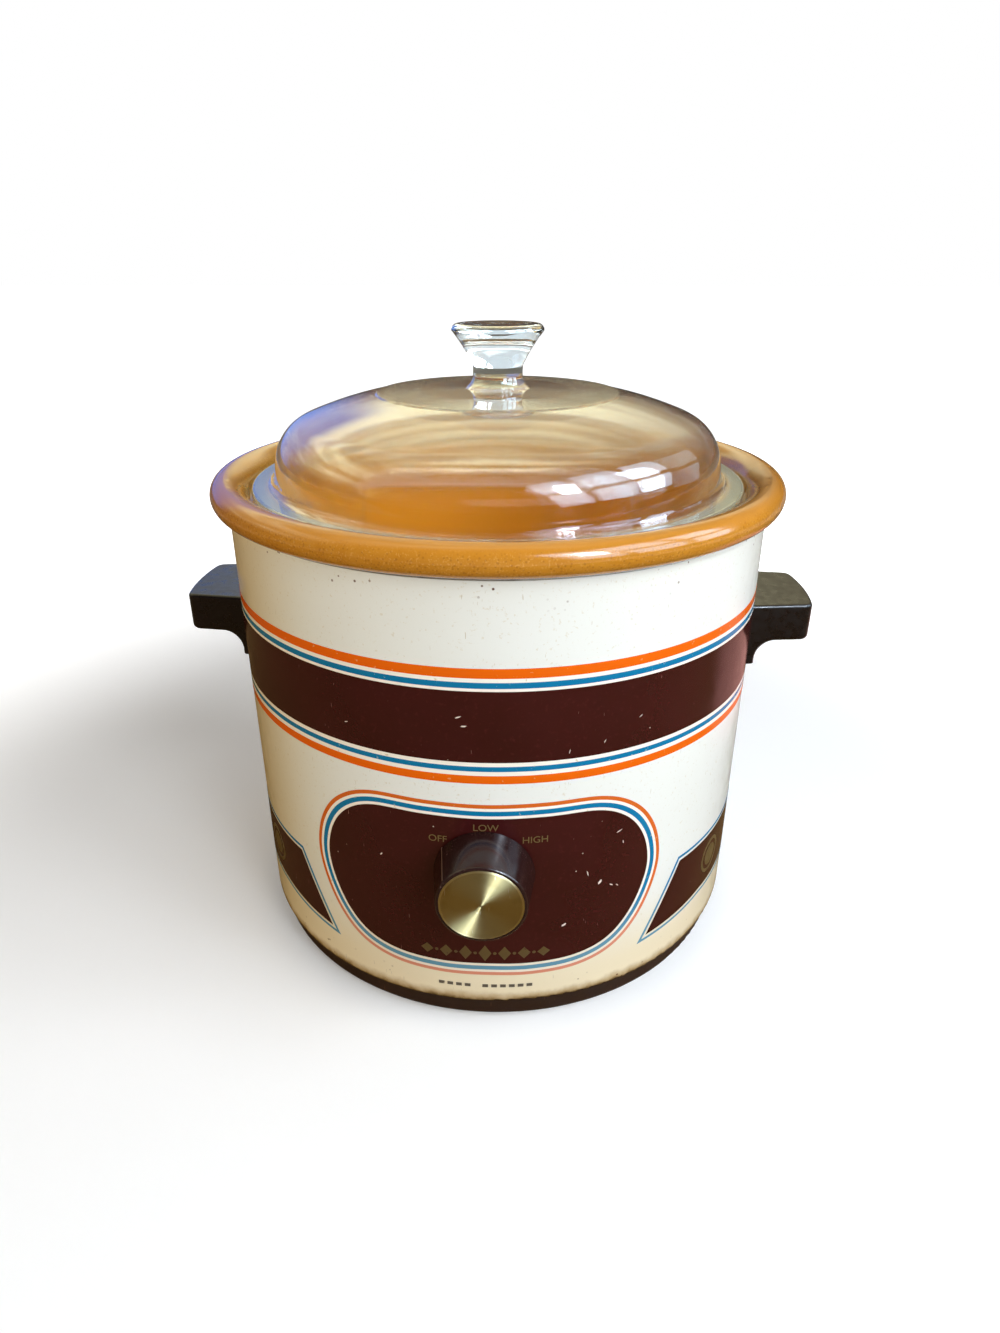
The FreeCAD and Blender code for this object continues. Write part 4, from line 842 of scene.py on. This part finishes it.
def make_window(name, place, pane, gap, columns, rows, power, colour, unseen):
    """A window of even square panes, turned towards the middle."""
    turn = (MIDDLE - Vector(place)).to_track_quat("-Z", "Y")
    for column in range(columns):
        for row in range(rows):
            shift = Vector(((column - (columns - 1) / 2) * (pane + gap),
                            (row - (rows - 1) / 2) * (pane + gap), 0))
            lamp = make_softbox(f"{name}_pane_{column}_{row}", Vector(place) + turn @ shift, MIDDLE,
                                pane, pane, power / columns / rows, colour, unseen)
            lamp.rotation_euler = turn.to_euler()


def make_world():
    """White behind the pot. A dim room, warm at the left, lights it.

    Gloss shows a clouded beige ceiling overhead and a blue window far behind the pot at the left.
    """
    world = bpy.data.worlds.new("studio")
    bpy.context.scene.world = world
    world.use_nodes = True
    nodes = Nodes(world.node_tree)
    way = nodes.add("ShaderNodeTexCoord").outputs["Generated"]
    across, along, up = nodes.add("ShaderNodeSeparateXYZ", {0: way}).outputs

    lit = nodes.mix(nodes.ramp(across, -0.2, -0.9), (0.12, 0.12, 0.13, 1.0), (0.30, 0.18, 0.05, 1.0))
    lit = nodes.mix(nodes.ramp(up, 0.2, 0.6), lit, (0.10, 0.10, 0.11, 1.0))

    bands = nodes.add("ShaderNodeMapping", {"Vector": way, "Scale": (1.0, 1.0, 7.0)}).outputs["Vector"]
    cloud = nodes.add("ShaderNodeTexNoise", {"Vector": bands, "Scale": 1.6, "Detail": 0.5})
    cloudy = nodes.ramp(cloud.outputs["Fac"], 0.35, 0.65)
    ceiling = nodes.mix(cloudy, (0.95, 0.80, 0.46, 1.0), (2.4, 2.35, 1.55, 1.0))
    ceiling = nodes.mix(nodes.ramp(across, 0.0, 0.6), ceiling, (0.6, 0.44, 0.26, 1.0))
    overhead = nodes.calc("MULTIPLY", nodes.ramp(up, 0.1, 0.45), nodes.ramp(along, -0.5, 0.2))
    walls = nodes.mix(nodes.ramp(across, -0.7, 0.3), (0.12, 0.10, 0.09, 1.0), (0.06, 0.045, 0.04, 1.0))
    gloss = nodes.mix(overhead, walls, ceiling)
    behind = nodes.calc("MULTIPLY", nodes.ramp(up, 0.48, 0.36), nodes.ramp(along, 0.5, 0.7))
    far_window = nodes.calc("MULTIPLY", nodes.ramp(across, -0.2, -0.36), behind)
    gloss = nodes.mix(far_window, gloss, (0.15, 0.34, 1.0, 1.0))

    shown = nodes.mix(nodes.ray_is("Glossy"), lit, gloss)
    shown = nodes.mix(nodes.ray_is("Transmission"), shown, (0.80, 0.88, 1.0, 1.0))
    shown = nodes.mix(nodes.ray_is("Camera"), shown, (1.0, 1.0, 1.0, 1.0))
    nodes.feed(nodes.tree.nodes["Background"].inputs["Color"], shown)


def make_lights():
    """A window at the right, soft light from in front, the left and above, and cards for gloss."""
    make_window("window", (1.16, -0.73, 1.05), pane=0.48, gap=0.1, columns=3, rows=2,
                power=36, colour=(0.96, 0.98, 1.0), unseen=LAMP_UNSEEN)
    make_softbox("front", (0.2, -1.8, 0.5), MIDDLE, width=1.4, height=0.7,
                 power=14, colour=(0.97, 0.99, 1.0), unseen=LAMP_UNSEEN)
    make_softbox("warm_wall", (-1.45, -0.4, 0.3), MIDDLE, width=1.0, height=0.7,
                 power=7, colour=(1.0, 0.64, 0.14), unseen=LAMP_UNSEEN)
    make_softbox("ceiling", (0.1, 0.3, 1.9), MIDDLE, width=1.6, height=1.6,
                 power=4.5, colour=(0.96, 0.99, 1.0), unseen=LAMP_UNSEEN)
    make_window("glint", (1.02, -0.53, 0.82), pane=0.5, gap=0.12, columns=3, rows=2,
                power=42, colour=(0.6, 0.8, 1.0), unseen=CARD_UNSEEN)
    make_softbox("bright_pane", (0.76, -0.97, 0.95), MIDDLE, width=0.22, height=0.4,
                 power=24, colour=(0.78, 0.87, 1.0), unseen=CARD_UNSEEN)
    make_softbox("mauve_card", (0.23, 0.085, 0.05), (0, 0, 0.1), width=0.16, height=0.09,
                 power=0.03, colour=(1.0, 0.45, 0.48), unseen=CARD_UNSEEN)


# The viewer: degrees round from the front, metres from the pot's axis, metres above the floor, and
# degrees of looking down.
VIEW_TURN = 2.6
VIEW_DISTANCE = 0.3616
VIEW_HEIGHT = 0.2822
VIEW_PITCH = 25.75
# The camera's sensor and lens in millimetres, and its shift as a share of the sensor.
SENSOR = 36
LENS = 23.23
SHIFT = 0.0016
NEAREST_SEEN = 0.01


def make_camera():
    """The viewer stands a little to the right and looks down on the pot."""
    camera = bpy.data.cameras.new("viewer")
    camera.sensor_width = SENSOR
    camera.lens = LENS
    camera.shift_x = SHIFT
    camera.clip_start = NEAREST_SEEN
    turn = math.radians(VIEW_TURN)
    viewer = bpy.data.objects.new("viewer", camera)
    viewer.location = (VIEW_DISTANCE * math.sin(turn), -VIEW_DISTANCE * math.cos(turn), VIEW_HEIGHT)
    viewer.rotation_euler = (math.radians(90 - VIEW_PITCH), 0, turn)
    bpy.context.scene.collection.objects.link(viewer)
    bpy.context.scene.camera = viewer


make_camera()
make_world()
make_lights()
make_floor()
finish_cad_nodes()
decorate_shell()
make_pointer()
bpy.context.scene.view_settings.view_transform = "Standard"
